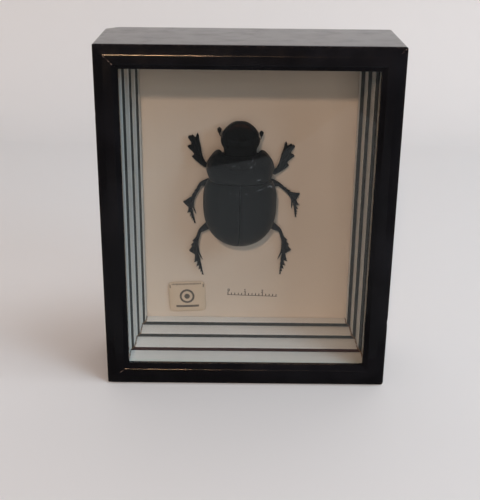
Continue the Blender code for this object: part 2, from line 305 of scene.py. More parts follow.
def tube(path, radii, sides=8, flatten=1.0):
    """A closed round limb along a path, with a radius at each of its points."""
    path = [Vector(p) for p in path]
    up = Vector((0.0, 0.0, 1.0))
    points, faces = [], []
    for i, centre in enumerate(path):
        along = (path[min(i + 1, len(path) - 1)] - path[max(i - 1, 0)]).normalized()
        if abs(along.dot(up)) > 0.95:
            up = Vector((1.0, 0.0, 0.0))
        across = along.cross(up).normalized()
        lift = across.cross(along)
        for k in range(sides):
            angle = 2 * math.pi * k / sides
            offset = across * math.cos(angle) + lift * math.sin(angle) * flatten
            points.append(tuple(centre + offset * radii[i]))
    for i in range(len(path) - 1):
        for k in range(sides):
            n = (k + 1) % sides
            faces.append([i * sides + k, i * sides + n, (i + 1) * sides + n, (i + 1) * sides + k])
    faces.append(list(range(sides))[::-1])
    faces.append([(len(path) - 1) * sides + k for k in range(sides)])
    return points, [face[::-1] for face in faces]


def gauss(x, width):
    return np.exp(-((x / width) ** 2))


def clamp(x):
    return np.clip(x, 0, 1)


def ease(distance, reach):
    """From 0 at no distance to 1 well beyond the reach."""
    return 1 - np.exp(-distance / reach)


def spots(x, y):
    """Places on a plane, to read the noise at."""
    return np.column_stack((x, y, np.zeros(len(x))))


def hollow(height, depth=0.0, reach=1.0):
    """An underside for shell(): at a height, and lower by a depth away from the edge."""
    return lambda x, y, d: height - depth * ease(d, reach)


# ---- Materials ----
class Finish:
    """A material's node tree, with short ways to add what the finishes below share."""

    def __init__(self, name, colour, roughness, **sockets):
        self.material = bpy.data.materials.new(name)
        self.material.use_nodes = True
        self.tree = self.material.node_tree
        self.shader = self.tree.nodes["Principled BSDF"]
        self.shader.inputs["Base Color"].default_value = (*colour, 1.0)
        self.shader.inputs["Roughness"].default_value = roughness
        for socket, value in sockets.items():
            self.shader.inputs[socket.replace("_", " ")].default_value = value
        self.place = self.tree.nodes.new("ShaderNodeTexCoord").outputs["Object"]
        self.height = None

    def node(self, kind, **settings):
        made = self.tree.nodes.new("ShaderNode" + kind)
        for key, value in settings.items():
            setattr(made, key, value)
        return made

    def feed(self, socket, value):
        if isinstance(value, bpy.types.NodeSocket):
            self.tree.links.new(value, socket)
        elif isinstance(value, tuple) and len(value) == 3 and socket.type == "RGBA":
            socket.default_value = (*value, 1.0)
        else:
            socket.default_value = value
        return socket

    def noise(self, size, detail=3.0, stretch=None):
        """Noise with features of a size in millimetres, stretched along the axes if asked."""
        made = self.node("TexNoise")
        self.feed(made.inputs["Vector"], self.stretched(stretch))
        made.inputs["Scale"].default_value = 1.0 / (size * MM)
        made.inputs["Detail"].default_value = detail
        return made.outputs["Fac"]

    def specks(self, size, edge, among, region, strength=1.0):
        """A speck in each cell of a size, where a coarser noise is high. edge runs from bare to full."""
        made = self.node("TexVoronoi")
        self.feed(made.inputs["Vector"], self.place)
        made.inputs["Scale"].default_value = 1.0 / (size * MM)
        speck = self.spread(made.outputs["Distance"], *edge, 0.0, strength)
        return self.maths("MULTIPLY", speck, self.spread(self.noise(among), *region))

    def stretched(self, stretch):
        if stretch is None:
            return self.place
        made = self.node("Mapping")
        self.feed(made.inputs["Vector"], self.place)
        made.inputs["Scale"].default_value = tuple(1.0 / s for s in stretch)
        return made.outputs["Vector"]

    def axis(self, name):
        made = self.node("SeparateXYZ")
        self.feed(made.inputs["Vector"], self.place)
        return made.outputs[name]

    def painted(self, name):
        """A value that the mesh carries at its points."""
        return self.node("Attribute", attribute_name=name).outputs["Fac"]

    def maths(self, operation, a, b=0.0):
        made = self.node("Math", operation=operation)
        self.feed(made.inputs[0], a)
        self.feed(made.inputs[1], b)
        return made.outputs["Value"]

    def spread(self, value, low, high, to_low=0.0, to_high=1.0):
        """A value's range moved to another range, and held inside it."""
        made = self.node("MapRange")
        self.feed(made.inputs["Value"], value)
        limits = {"From Min": low, "From Max": high, "To Min": to_low, "To Max": to_high}
        for socket, number in limits.items():
            self.feed(made.inputs[socket], number)
        return made.outputs["Result"]

    def blend(self, factor, a, b):
        made = self.node("Mix", data_type="RGBA")
        self.feed(made.inputs["Factor"], factor)
        self.feed(made.inputs[6], a)
        self.feed(made.inputs[7], b)
        return made.outputs[2]

    def bump(self, height, depth, strength=1.0):
        """Relief of a depth in millimetres, added to any relief that is there already."""
        made = self.node("Bump")
        made.inputs["Distance"].default_value = depth * MM
        made.inputs["Strength"].default_value = strength
        self.feed(made.inputs["Height"], height)
        if self.height is not None:
            self.feed(made.inputs["Normal"], self.height)
        self.height = made.outputs["Normal"]
        self.feed(self.shader.inputs["Normal"], self.height)
        return self

    def colour(self, value):
        self.feed(self.shader.inputs["Base Color"], value)
        return self

    def rough(self, value):
        self.feed(self.shader.inputs["Roughness"], value)
        return self


def lacquer_finish():
    """Black gloss lacquer: fine orange peel, faint smudges, a few specks and rubbed spots."""
    f = Finish("lacquer", (0.0050, 0.0050, 0.0058), 0.16, IOR=1.5)
    rubbed = f.maths("MULTIPLY", f.painted("wear"), f.spread(f.noise(1.1, 4.0), 0.46, 0.60))
    worn = f.maths("MAXIMUM", rubbed, f.specks(8.5, (0.030, 0.018), 16.0, (0.54, 0.62), 0.30))
    bare = f.blend(f.noise(0.8), (0.10, 0.065, 0.05), (0.24, 0.18, 0.15))
    dust = f.spread(f.noise(22.0), 0.45, 0.75)
    dusty = f.blend(dust, (0.0042, 0.0042, 0.0052), (0.0075, 0.0075, 0.0095))
    f.colour(f.blend(worn, dusty, bare))
    smudge = f.spread(f.noise(9.0, 5.0, (1.0, 1.0, 2.2)), 0.40, 0.75, 0.12, 0.24)
    f.rough(f.maths("MAXIMUM", smudge, f.maths("MULTIPLY", worn, 0.6)))
    f.bump(f.noise(1.4, 2.0), 0.012, 0.5)
    f.bump(f.noise(0.25, 1.0), 0.004, 0.35)
    return f.material


def raw_wood_finish():
    """Bare pale wood on the rails' backs, with grain along each rail and stray black paint."""
    f = Finish("raw_wood", (0.5, 0.36, 0.22), 0.75)
    grain = f.noise(1.2, 5.0, (14.0, 1.0, 14.0))
    tone = f.blend(grain, (0.34, 0.22, 0.12), (0.62, 0.47, 0.30))
    stain = f.spread(f.noise(11.0, 4.0), 0.56, 0.60)
    f.colour(f.blend(stain, tone, (0.02, 0.018, 0.017)))
    f.bump(grain, 0.08, 0.6)
    return f.material


def tread_finish():
    """White coated paper on the liner's treads, with painted green light from the glass edge towards the
    pane, brown where its cut edge shows at a mitre.
    """
    f = Finish("liner_white", (0.78, 0.78, 0.75), 0.55)
    paper = f.blend(f.noise(7.0, 3.0), (0.74, 0.735, 0.70), (0.80, 0.80, 0.775))
    # Painted light: the treads turn green towards the pane, for the green light that the glass edge casts
    # there.
    glass_edge_green_light = f.spread(f.axis("Y"), (GLASS_BACK + 5.0) * MM, (GLASS_BACK + 0.8) * MM)
    paper = f.blend(f.maths("MULTIPLY", glass_edge_green_light, 0.55), paper, (0.62, 0.74, 0.69))
    paper = f.blend(f.specks(5.2, (0.032, 0.02), 9.0, (0.50, 0.56)), paper, (0.16, 0.13, 0.10))
    raw = f.maths("MULTIPLY", f.painted("cut"), f.spread(f.noise(1.1, 3.0), 0.32, 0.52))
    f.colour(f.blend(raw, paper, (0.21, 0.125, 0.065)))
    f.bump(f.noise(0.35, 3.0), 0.012, 0.5)
    return f.material


def riser_finish(name, dark, light):
    """Black paper on the liner's risers, brown where its cut edge shows at a mitre."""
    f = Finish(name, dark, 0.6)
    tone = f.blend(f.noise(4.0, 4.0), dark, light)
    raw = f.maths("MULTIPLY", f.painted("cut"), f.spread(f.noise(0.9, 3.0), 0.4, 0.6))
    f.colour(f.blend(raw, tone, (0.20, 0.12, 0.06)))
    f.bump(f.noise(0.5, 3.0), 0.01, 0.5)
    return f.material


def card_finish():
    """Cream backing card, faintly mottled, with a fine paper tooth."""
    f = Finish("card", (0.62, 0.55, 0.47), 0.85)
    tone = f.blend(f.noise(16.0, 4.0), (0.60, 0.535, 0.455), (0.645, 0.575, 0.495))
    fleck = f.specks(4.4, (0.03, 0.018), 12.0, (0.5, 0.56), 0.35)
    f.colour(f.blend(fleck, tone, (0.30, 0.22, 0.15)))
    f.bump(f.noise(0.3, 4.0), 0.015, 0.5)
    return f.material


def glass_finish():
    """Clear picture glass, very slightly green."""
    return Finish("glass", (0.965, 0.985, 0.975), 0.0, IOR=1.47, Transmission_Weight=1.0).material


def chitin_finish(name, colour, roughness, grain, grain_depth, tint=None):
    """Black beetle shell: satin, finely grained, with dust and small pale marks that are partly real
    scratches and partly painted glints.
    """
    f = Finish(name, colour, roughness, IOR=1.5, Specular_IOR_Level=0.24)
    tone = f.blend(f.spread(f.noise(3.5, 4.0), 0.4, 0.7), colour, tuple(c * 1.5 for c in colour))
    tone = f.blend(f.specks(2.6, (0.07, 0.04), 5.0, (0.56, 0.64), 0.6), tone, (0.075, 0.060, 0.050))
    if tint:
        tone = f.blend(f.painted("tint"), tone, tint)
    # Painted highlights: the pale blue-grey marks stand partly for glints of light and partly for real
    # scratches.
    f.colour(f.blend(f.painted("scratch"), tone, (0.30, 0.33, 0.37)))
    f.rough(f.spread(f.noise(1.8, 4.0), 0.35, 0.7, roughness - 0.05, roughness + 0.10))
    f.bump(f.noise(grain, 2.0), grain_depth, 0.5)
    return f.material


def packet_finish():
    """Beige packet paper with its dark print, which the mesh carries as ink."""
    f = Finish("packet", (0.60, 0.50, 0.40), 0.6)
    tone = f.blend(f.noise(3.0, 4.0), (0.55, 0.455, 0.345), (0.625, 0.52, 0.40))
    ink = f.maths("MULTIPLY", f.painted("ink"), f.spread(f.noise(0.5, 2.0), 0.25, 0.5, 0.72, 1.0))
    f.colour(f.blend(ink, tone, (0.030, 0.029, 0.033)))
    f.bump(f.noise(0.45, 4.0), 0.015, 0.5)
    return f.material


def ink_finish():
    """Worn dark grey ink on the card."""
    f = Finish("ink", (0.09, 0.075, 0.065), 0.7)
    worn = f.spread(f.noise(0.4, 2.0), 0.4, 0.65)
    f.colour(f.blend(worn, (0.030, 0.026, 0.024), (0.075, 0.062, 0.055)))
    return f.material


def board_finish():
    """Brown fibre board with long fibres and a few scuffs."""
    f = Finish("board", (0.23, 0.14, 0.08), 0.8)
    fibres = f.noise(0.8, 5.0, (6.0, 1.0, 1.0))
    tone = f.blend(fibres, (0.15, 0.085, 0.045), (0.30, 0.19, 0.11))
    scuff = f.spread(f.noise(26.0, 5.0, (1.0, 1.0, 3.0)), 0.58, 0.70, 0.0, 0.45)
    f.colour(f.blend(scuff, tone, (0.42, 0.31, 0.21)))
    f.bump(fibres, 0.06, 0.6)
    return f.material


def steel_finish():
    f = Finish("steel", (0.55, 0.54, 0.52), 0.32, Metallic=1.0)
    f.colour(f.blend(f.noise(2.2, 4.0), (0.38, 0.37, 0.35), (0.66, 0.65, 0.62)))
    f.rough(f.spread(f.noise(1.0, 3.0), 0.3, 0.7, 0.25, 0.5))
    f.bump(f.noise(0.3, 2.0, (8.0, 1.0, 1.0)), 0.01, 0.5)
    return f.material


def plain_finish(name, colour):
    return Finish(name, colour, 0.9).material


def glow_finish(name, colour, strength):
    """An even light of its own, and nothing mirrored or lit."""
    glow = {"Emission_Color": (*colour, 1.0), "Emission_Strength": strength}
    return Finish(name, (0.0, 0.0, 0.0), 1.0, **glow).material


FINISHES = {
    "lacquer": lacquer_finish(),
    "raw_wood": raw_wood_finish(),
    "tread": tread_finish(),
    "riser": riser_finish("liner_black", (0.020, 0.022, 0.021), (0.040, 0.043, 0.040)),
    # Painted reflection: black riser paper with a dark red reflection painted over it, used on the bottom
    # liner's front riser.
    "riser_red_reflection": riser_finish("liner_black_painted_red_reflection", (0.030, 0.014, 0.014), (0.045, 0.020, 0.020)),
    "card": card_finish(),
    "glass": glass_finish(),
    "wing_case": chitin_finish("wing_case", (0.0016, 0.0018, 0.0023), 0.46, 2.4, 0.010),
    "breastplate": chitin_finish("breastplate", (0.0014, 0.0014, 0.0018), 0.42, 1.2, 0.020),
    "head": chitin_finish("head_shield", (0.0014, 0.0013, 0.0014), 0.44, 1.0, 0.020, (0.030, 0.012, 0.008)),
    "limb": chitin_finish("limb", (0.0026, 0.0024, 0.0026), 0.46, 0.8, 0.012),
    "packet": packet_finish(),
    "ink": ink_finish(),
    "board": board_finish(),
    "steel": steel_finish(),
}


# ---- The box ----
def sides():
    """Each side's turn about Y, its outer length, and the middle of its outer edge."""
    return {
        "bottom": (0.0, WIDTH, (0.0, 0.0)),
        "top": (math.pi, WIDTH, (0.0, HEIGHT)),
        "left": (math.pi / 2, HEIGHT, (-WIDTH / 2, HEIGHT / 2)),
        "right": (-math.pi / 2, HEIGHT, (WIDTH / 2, HEIGHT / 2)),
    }


def round_corner(before, corner, after, reach, steps=6):
    """Points that round a profile's corner, starting and ending a given reach from it."""
    before, corner, after = (np.array(p, float) for p in (before, corner, after))
    start = corner + (before - corner) / np.linalg.norm(before - corner) * reach
    end = corner + (after - corner) / np.linalg.norm(after - corner) * reach
    return [start * (1 - t) ** 2 + 2 * corner * t * (1 - t) + end * t * t for t in np.linspace(0, 1, steps)]


def profile_points(corners, longest):
    """A closed profile from (inset, depth, rounding, finish, longest step) corners. Each finish
    is that of the run that follows its corner. Returns the points and each run's finish."""
    points, finishes = [], []
    count = len(corners)
    for k, (inset, depth, reach, finish) in enumerate(corners):
        before, after = corners[k - 1][:2], corners[(k + 1) % count][:2]
        if reach:
            bend = round_corner(before, (inset, depth), after, reach)
        else:
            bend = [np.array((inset, depth), float)]
        points += bend
        finishes += [finish] * len(bend)
        following = corners[(k + 1) % count]
        end = np.array(following[:2], float)
        if following[2]:
            end = round_corner((inset, depth), following[:2], corners[(k + 2) % count][:2], following[2])[0]
        steps = max(1, math.ceil(np.linalg.norm(end - points[-1]) / longest))
        start = points[-1]
        points += [start + (end - start) * i / steps for i in range(1, steps)]
        finishes += [finish] * (steps - 1)
    return np.array(points), finishes


def run_strip(profile, finishes, length, stations, gap):
    """A profile run along a side and cut at 45 degrees at both ends."""
    count = len(profile)
    inset, depth = profile[:, 0], profile[:, 1]
    points = []
    for s in stations:
        points.append(np.column_stack((s * (length / 2 - inset - gap / math.sqrt(2)), depth, inset)))
    faces, slots = [], []
    for j in range(len(stations) - 1):
        for k in range(count):
            n = (k + 1) % count
            faces.append([j * count + k, (j + 1) * count + k, (j + 1) * count + n, j * count + n])
            slots.append(finishes[k])
    for ends, order in ((0, 1), (len(stations) - 1, -1)):
        faces.append([ends * count + k for k in range(count)][::order])
        slots.append(finishes[-1])
    return np.concatenate(points), faces, slots


def turned(points, turn, edge):
    """Place a strip made along X, with its inner edge up, on its side of the box."""
    c, s = math.cos(turn), math.sin(turn)
    x, depth, inset = points.T
    return np.column_stack((c * x + s * inset + edge[0], FRONT + depth, -s * x + c * inset + edge[1]))


END_REACH = 6.0


def make_stations(length, ends, middle):
    """Places along a strip from -1 to 1, closer together towards its ends."""
    half = length / 2
    near = np.arange(0, END_REACH, ends)
    rest = np.linspace(END_REACH, half, max(2, int((half - END_REACH) / middle)))
    outer = np.concatenate((near, rest))
    outward = 1 - outer / half
    return np.concatenate((-outward, outward[::-1][1:]))


# Knocks in the lacquered arrises: place, radius and depth.
KNOCKS = (
    ((-76.0, 29.0, 184.0), 4.2, 2.6),
    ((-73.4, -1.0, 183.2), 0.9, 0.45),
    ((-73.0, 6.0, 183.2), 0.8, 0.50),
    ((-72.6, 12.0, 183.2), 0.9, 0.45),
    ((-75.0, -25.5, 150.0), 1.2, 0.25),
    ((75.0, -25.5, 38.0), 1.6, 0.3),
    ((-12.0, -27.1, 9.5), 0.9, 0.12),
    ((28.0, -27.1, 9.4), 1.0, 0.15),
    ((-74.0, -26.0, 0.5), 1.3, 0.35),
)
# Rubbed stretches of the mitre lines: corner as (left or right, bottom or top), first and last inset.
MITRE_RUBS = (
    ((-1, 1), 5.2, 9.6),
    ((-1, -1), 3.6, 4.6),
    ((-1, -1), 7.4, 8.2),
    ((1, 1), 0.0, 2.2),
    ((1, -1), 0.4, 1.8),
)


def wear_box(points):
    """Round the box's outer corners and press the knocks into it."""
    points = points.copy()
    for (sx, sz), radius in CORNER_RADIUS.items():
        centre = np.array((sx * (WIDTH / 2 - radius), radius if sz < 0 else HEIGHT - radius))
        offset = points[:, [0, 2]] - centre
        beyond = (offset[:, 0] * sx > 0) & (offset[:, 1] * sz > 0)
        away = np.linalg.norm(offset, axis=1)
        shrink = np.where(beyond & (away > radius), radius / np.maximum(away, 1e-9), 1.0)
        points[:, [0, 2]] = centre + offset * shrink[:, None]
    middle = np.array((0.0, 0.0, HEIGHT / 2))
    for place, radius, depth in KNOCKS:
        place = np.array(place)
        push = gauss(np.linalg.norm(points - place, axis=1), radius)
        push *= np.clip(0.8 + 0.6 * value_noise(points, 0.9, 3), 0, 1.5)
        points += np.outer(push * depth, (middle - place) / np.linalg.norm(middle - place))
    return points


def make_rails():
    corners = [
        (*OUTER_ARRIS, 0),
        (*OUTER_RIDGE, 0),
        (*INNER_ARRIS, 0),
        (*LIP_EDGE, 0),
        (LIP_INSET, LIP_BACK, 0.15, 1),
        (WALL, LIP_BACK, 0.0, 1),
        (WALL, DEPTH, 0.15, 1),
        (0.0, DEPTH, 0.5, 0),
    ]
    profile, finishes = profile_points(corners, 1.6)
    to_arris = np.linalg.norm(profile - np.array(OUTER_ARRIS[:2]), axis=1)
    for side, (turn, length, edge) in sides().items():
        stations = make_stations(length, 0.4, 0.8)
        points, faces, slots = run_strip(profile, finishes, length, stations, MITRE_GAP)
        inset, depth = np.tile(profile.T, len(stations))
        at_mitre = (1 - np.abs(np.repeat(stations, len(profile)))) * length / 2
        near = gauss(at_mitre, RUB_WIDTH) * (depth < 3.0)
        points = turned(points, turn, edge)
        wear = ARRIS_WEAR * gauss(np.tile(to_arris, len(stations)), 0.6)
        for (right, high), first, last in MITRE_RUBS:
            at_corner = (points[:, 0] * right > 0) & ((points[:, 2] - HEIGHT / 2) * high > 0)
            wear = np.maximum(wear, near * at_corner * (inset > first) * (inset < last))
        points[:, 1] += RIPPLE * (1 + value_noise(points, 9.0, 1)) * (depth < 2.0)
        shape = Shape().add(wear_box(points), faces, slots, wear=wear)
        used = ("lacquer", "raw_wood")
        make_piece(f"lacquered_rail_{side}", shape, used, [f"rail_{side}"], sharp=50)


# The liner's finishes, by the number that its profile gives them; the last is black paper with a painted
# red reflection.
LINER_FINISHES = ("tread", "riser", "board", "riser_red_reflection")
WHITE, BLACK, BARE, RED_REFLECTION = range(4)


def is_lapped(inset):
    """Whether a face at an inset lies in the strip of a riser that the left side's paper covers."""
    return any(0.0 < inset - tread[0] < LEFT_LAP for tread in TREADS)


def make_liner():
    corners = [(LINER_OUTER, LINER_START, 0.0, BARE)]
    start = LINER_START
    for number, (inset, end) in enumerate(TREADS):
        last = number == len(TREADS) - 1
        # The front riser gets the painted red reflection, which only the bottom side keeps.
        riser = BARE if last else (RED_REFLECTION if number == 0 else BLACK)
        corners += [(inset, start, 0.12, WHITE), (inset, end, 0.0 if last else 0.1, riser)]
        if not last:
            corners.append((inset + LEFT_LAP, end, 0.0, riser))
        start = end
    corners.append((LINER_OUTER, start, 0.0, BARE))
    profile, finishes = profile_points(corners, 1.5)
    for side, (turn, length, edge) in sides().items():
        stations = make_stations(length, 0.35, 1.6)
        points, faces, slots = run_strip(profile, finishes, length, stations, LINER_GAP)
        # Only the bottom side keeps the painted red reflection on its front riser.
        for k, face in enumerate(faces):
            if side != "bottom" and slots[k] == RED_REFLECTION:
                slots[k] = BLACK
            if side == "left" and slots[k] == BLACK and is_lapped(points[face, 2].mean()):
                slots[k] = WHITE
        reach = length / 2 - np.tile(profile[:, 0], len(stations))
        to_mitre = (1 - np.abs(np.repeat(stations, len(profile)))) * reach
        ragged = 0.30 + 0.16 * value_noise(points, 2.2, 5)
        cut = clamp((ragged * 2 - to_mitre) / 0.3)
        points = turned(points, turn, edge) + np.array((LINER_SHIFT, 0.0, 0.0))
        shape = Shape().add(points, faces, slots, cut=cut)
        make_piece(f"stepped_liner_{side}", shape, LINER_FINISHES, [f"liner_{side}"], sharp=35)


def finish_cad(node, material):
    """Give a CAD node that keeps its own shape its finish."""
    piece = frame["nodes"][node]
    piece.data.materials.clear()
    piece.data.materials.append(FINISHES[material])
    return piece


def finish_others():
    """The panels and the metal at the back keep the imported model's own shapes."""
    finish_cad("glass_pane", "glass").visible_shadow = False
    finish_cad("backing_card", "card")
    finish_cad("back_board", "board")
    for node in frame["nodes"]:
        if node.startswith(("framer_point", "sawtooth", "hanger_pin")):
            finish_cad(node, "steel")


# ---- On the card ----
SACHET_SIZE = (21.8, 19.2)
SACHET_THICKNESS = 3.0
SACHET_TILT = math.radians(-2.5)
RING_MIDDLE, RING_RADIUS, RING_WIDTH, DOT_RADIUS = 1.1, 3.7, 1.2, 1.6
BAR = (-6.6, 6.6, -6.0, -4.5)
INK_BLUR = 0.12


def sachet_ink(x, y):
    """The packet's print: tick marks at its ends, a plain ring with a dot, and a plain bar."""
    half_w, half_h = SACHET_SIZE[0] / 2, SACHET_SIZE[1] / 2
    ink = np.zeros(len(x))

    def mark(inside, strength):
        np.maximum(ink, clamp(inside / INK_BLUR + 0.5) * strength, out=ink)

    def bar(x0, x1, y0, y1, strength):
        mark(np.minimum(np.minimum(x - x0, x1 - x), np.minimum(y - y0, y1 - y)), strength)

    for i in range(26):
        left = -half_w + 2.2 + i * 0.66
        bar(left, left + 0.42, half_h - 1.7, half_h - 0.9, 0.9 if i % 3 else 0.55)
        bar(left, left + 0.3, -half_h + 0.6, -half_h + 0.95, 0.28)
    for side in (-1, 1):
        middle = side * (half_w - 1.3)
        bar(middle - 0.3, middle + 0.3, half_h - 3.6, half_h - 1.6, 0.85)
    radius = np.hypot(x, y - RING_MIDDLE)
    mark(RING_WIDTH / 2 - np.abs(radius - RING_RADIUS), 0.9)
    mark(DOT_RADIUS - radius, 0.9)
    bar(*BAR, 0.85)
    return ink


def make_sachet():
    """A small paper pillow: sealed flat along its top and bottom, crowned between, and puckered."""
    half = np.array(SACHET_SIZE) / 2
    angles = (np.arange(120) + 0.5) * 2 * math.pi / 120
    circle = np.column_stack((np.cos(angles), np.sin(angles)))
    outline = np.sign(circle) * np.abs(circle) ** 0.30 * half
    outline *= (1 - 0.012 * (1 + np.cos(4 * angles)))[:, None]

    def top(x, y, d):
        across = clamp(1 - np.abs(x / half[0]) ** 3.2) ** 0.55
        up = clamp(1 - np.abs(y / half[1]) ** 2.6) ** 0.70
        pucker = 0.07 * value_noise(spots(x, 0.4 * y), 1.9, 2) * gauss(half[1] - np.abs(y) - 1.8, 1.8)
        dimple = 0.06 * value_noise(spots(x, y), 6.0, 4)
        crown = (SACHET_THICKNESS - 0.75) * across * up
        return 0.32 + 0.30 * ease(d, 0.10) + crown + (pucker + dimple) * clamp(d / 1.5)

    points, faces = shell(outline, top, hollow(0.3), 0.19, (0.03, 0.1, 0.2), step=0.3)
    ink = sachet_ink(points[:, 0], points[:, 1]) * (points[:, 2] > 0.35)
    middle = (SACHET_LOW + SACHET_HIGH) / 2
    points = tilted(points, -SACHET_TILT) + np.array((middle.x, middle.z, 0.0))
    shape = Shape().add(points, faces, ink=ink)
    piece = make_piece("sachet_pillow", shape, ("packet",), ["preservative_sachet"], on_card)


SCALE_LEFT, SCALE_LENGTH, SCALE_Z = -10.6, 28.5, 30.9
SCALE_TILT = math.radians(-1.6)
INK_THICKNESS = 0.02
FIGURE_STROKE, TICK_STROKE = 0.17, 0.24
LONG_TICK, SHORT_TICK = 1.7, 1.2
# Strokes of the plain figures, in a box one wide and 1.6 tall.
FIGURES = (
    (((0.5, 0.0), (0.12, 0.35), (0.05, 0.8), (0.12, 1.25), (0.5, 1.6), (0.88, 1.25), (0.95, 0.8),
      (0.88, 0.35), (0.5, 0.0)),),
    (((0.2, 1.3), (0.52, 1.6), (0.52, 0.0)), ((0.15, 0.0), (0.9, 0.0))),
    (((0.1, 1.25), (0.3, 1.55), (0.7, 1.55), (0.9, 1.2), (0.75, 0.8), (0.1, 0.0), (0.92, 0.0)),),
)


def make_scale_bar():
    """A fine printed centimetre scale with plain figures, under the beetle, on the card."""
    shape = Shape()

    def stroke(start, end, half=FIGURE_STROKE):
        start, end = np.array(start, float), np.array(end, float)
        along = (end - start) / np.linalg.norm(end - start) * half
        across = np.array((-along[1], along[0]))
        start, end = start - along, end + along
        corners = (start - across, end - across, end + across, start + across)
        points = [(x, y, z) for z in (0.0, INK_THICKNESS) for x, y in corners]
        walls = [[k, (k + 1) % 4, (k + 1) % 4 + 4, k + 4] for k in range(4)]
        shape.add(points, [[3, 2, 1, 0], [4, 5, 6, 7], *walls])

    stroke((0.0, 0.0), (SCALE_LENGTH, 0.0))
    for i in range(0, int(SCALE_LENGTH) + 1, 2):
        x = FIGURE_STROKE + i
        stroke((x, 0.1), (x, LONG_TICK if i % 10 == 0 else SHORT_TICK), TICK_STROKE)
    for number, lines in enumerate(FIGURES):
        corner = np.array((10 * number - (0.0 if number == 0 else 0.5), LONG_TICK + 0.5))
        for line in lines:
            for start, end in zip(line, line[1:]):
                stroke(corner + start, corner + end)

    def place(points):
        return on_card(tilted(points, SCALE_TILT) + np.array((SCALE_LEFT, SCALE_Z, 0.005)))

    make_piece("printed_scale", shape, ("ink",), (), place)


# ---- The beetle ----
def elytra_half_width(v):
    behind = clamp(1 - (np.clip(ELYTRA_WIDEST - v, 0, None) / ELYTRA_WIDEST) ** 2.5)
    ahead = 1 - (np.clip(v - ELYTRA_WIDEST, 0, None) / 26.0) ** 3
    return ELYTRA_HALF_WIDTH * np.where(v < ELYTRA_WIDEST, np.sqrt(behind), ahead)


def elytra_rise(v):
    """How far the wing cases' ridge stands above their seam's ends."""
    behind, ahead = (ELYTRA_PEAK - v) / ELYTRA_PEAK, (v - ELYTRA_PEAK) / 24.0
    return ELYTRA_RISE * np.sqrt(clamp(1 - np.where(v < ELYTRA_PEAK, behind, ahead) ** 2.6))


def add_to_beetle(name, finish, shape, node, sharp=60):
    make_piece(f"beetle_{name}", shape, (finish,), [f"beetle_{node}"], on_beetle, sharp)


STRIAE = 8
# Small raised lines near the wing cases' base, painted pale as partly scratches and partly glints, a
# painted highlight: middle, half length, angle and height.
BASE_MARKS = (
    (16.6, 36.2, 0.8, -40, 0.20),
    (15.2, 36.6, 0.7, 12, 0.10),
    (10.6, 35.8, 1.5, 10, 0.08),
    (-5.0, 34.3, 0.6, -50, 0.07),
    (-1.6, 33.6, 0.4, 60, 0.09),
    (0.2, 32.7, 0.4, 10, 0.10),
    (3.4, 34.1, 0.5, 15, 0.07),
    (-13.6, 15.2, 0.4, -30, 0.05),
)


def raised_lines(x, y, lines):
    total = np.zeros(len(x))
    for u, v, reach, angle, height in lines:
        c, s = math.cos(math.radians(angle)), math.sin(math.radians(angle))
        along = (x - u) * c + (y - v) * s
        across = -(x - u) * s + (y - v) * c
        total += height * gauss(across, 0.24) * gauss(along, reach)
    return total


def elytron_top(x, y, d):
    half = elytra_half_width(y)
    t = clamp(np.abs(x) / np.maximum(half, 0.1))
    lines = sum(gauss((t - k / STRIAE) * half, 0.16) for k in range(1, STRIAE))
    fade = clamp((y - 3.0) / 8.0) * clamp((ELYTRA_LENGTH - y) / 3.0) * clamp((0.97 - t) / 0.1)
    rise = elytra_rise(y) * (1 - t**2.3) ** 0.55
    rise -= 0.035 * lines * fade
    rise += 0.10 * gauss(d - 0.35, 0.3) * (np.abs(x) > 0.8) * (y < 36.0)
    rise -= 0.06 * gauss(d - 1.0, 0.3) * (np.abs(x) > 2.0) * (y < 36.0)
    rise -= 0.05 * gauss(np.abs(x) - 0.5, 0.3) * fade
    rise += 0.05 * value_noise(spots(x, y), 3.4, 6) + 0.008 * value_noise(spots(x, y), 0.8, 7)
    rise += raised_lines(x, y, BASE_MARKS)
    return SEAM_HEIGHT + rise * ease(d, 0.035)


def make_elytra():
    v = ELYTRA_START + (ELYTRA_LENGTH - ELYTRA_START) * np.linspace(0.0, 1.0, 60) ** 1.7
    half = elytra_half_width(v)
    underneath = hollow(SEAM_HEIGHT - 0.02, 0.5, 1.2)
    for name, side in (("left", -1), ("right", 1)):
        seam = side * 0.015
        outline = [(seam, v[0]), *zip(side * half, v), (seam, v[-1])]
        points, faces = shell(outline, elytron_top, underneath, 0.28, (0.03, 0.1, 0.24, 0.5), step=0.35)
        # Pale colour on the raised lines: partly scratches, partly painted glints.
        scratch = clamp(raised_lines(points[:, 0], points[:, 1], BASE_MARKS) / 0.22)
        shape = Shape().add(points, faces, scratch=scratch)
        add_to_beetle(f"wing_case_{name}", "wing_case", shape, f"elytron_{name}")


# Right half of the breastplate's outline, from the middle of its back edge to its front edge.
PRONOTUM_HALF = (
    (0.0, 38.5), (6.0, 38.55), (12.0, 38.65), (15.6, 38.9), (17.0, 40.2), (18.0, 42.8),
    (18.2, 45.8), (17.5, 48.8), (15.6, 51.8), (13.9, 53.8), (12.3, 54.9), (11.0, 54.8),
    (10.0, 54.0), (9.2, 52.6), (7.0, 51.9), (3.0, 51.7),
)
HEAD_HALF = (
    (0.0, 69.8), (2.8, 69.6), (5.2, 68.4), (7.4, 66.6), (9.1, 64.5), (10.0, 62.4), (9.8, 61.6),
    (10.5, 60.6), (10.6, 58.9), (10.1, 57.0), (9.2, 55.4), (8.9, 53.6), (8.8, 51.6), (4.0, 51.0),
)


def mirrored(half):
    """A whole outline from its right half, whose first point, if it is on the axis, isn't doubled."""
    left = [(-u, v) for u, v in reversed(half) if u > 0.01]
    return list(half) + left


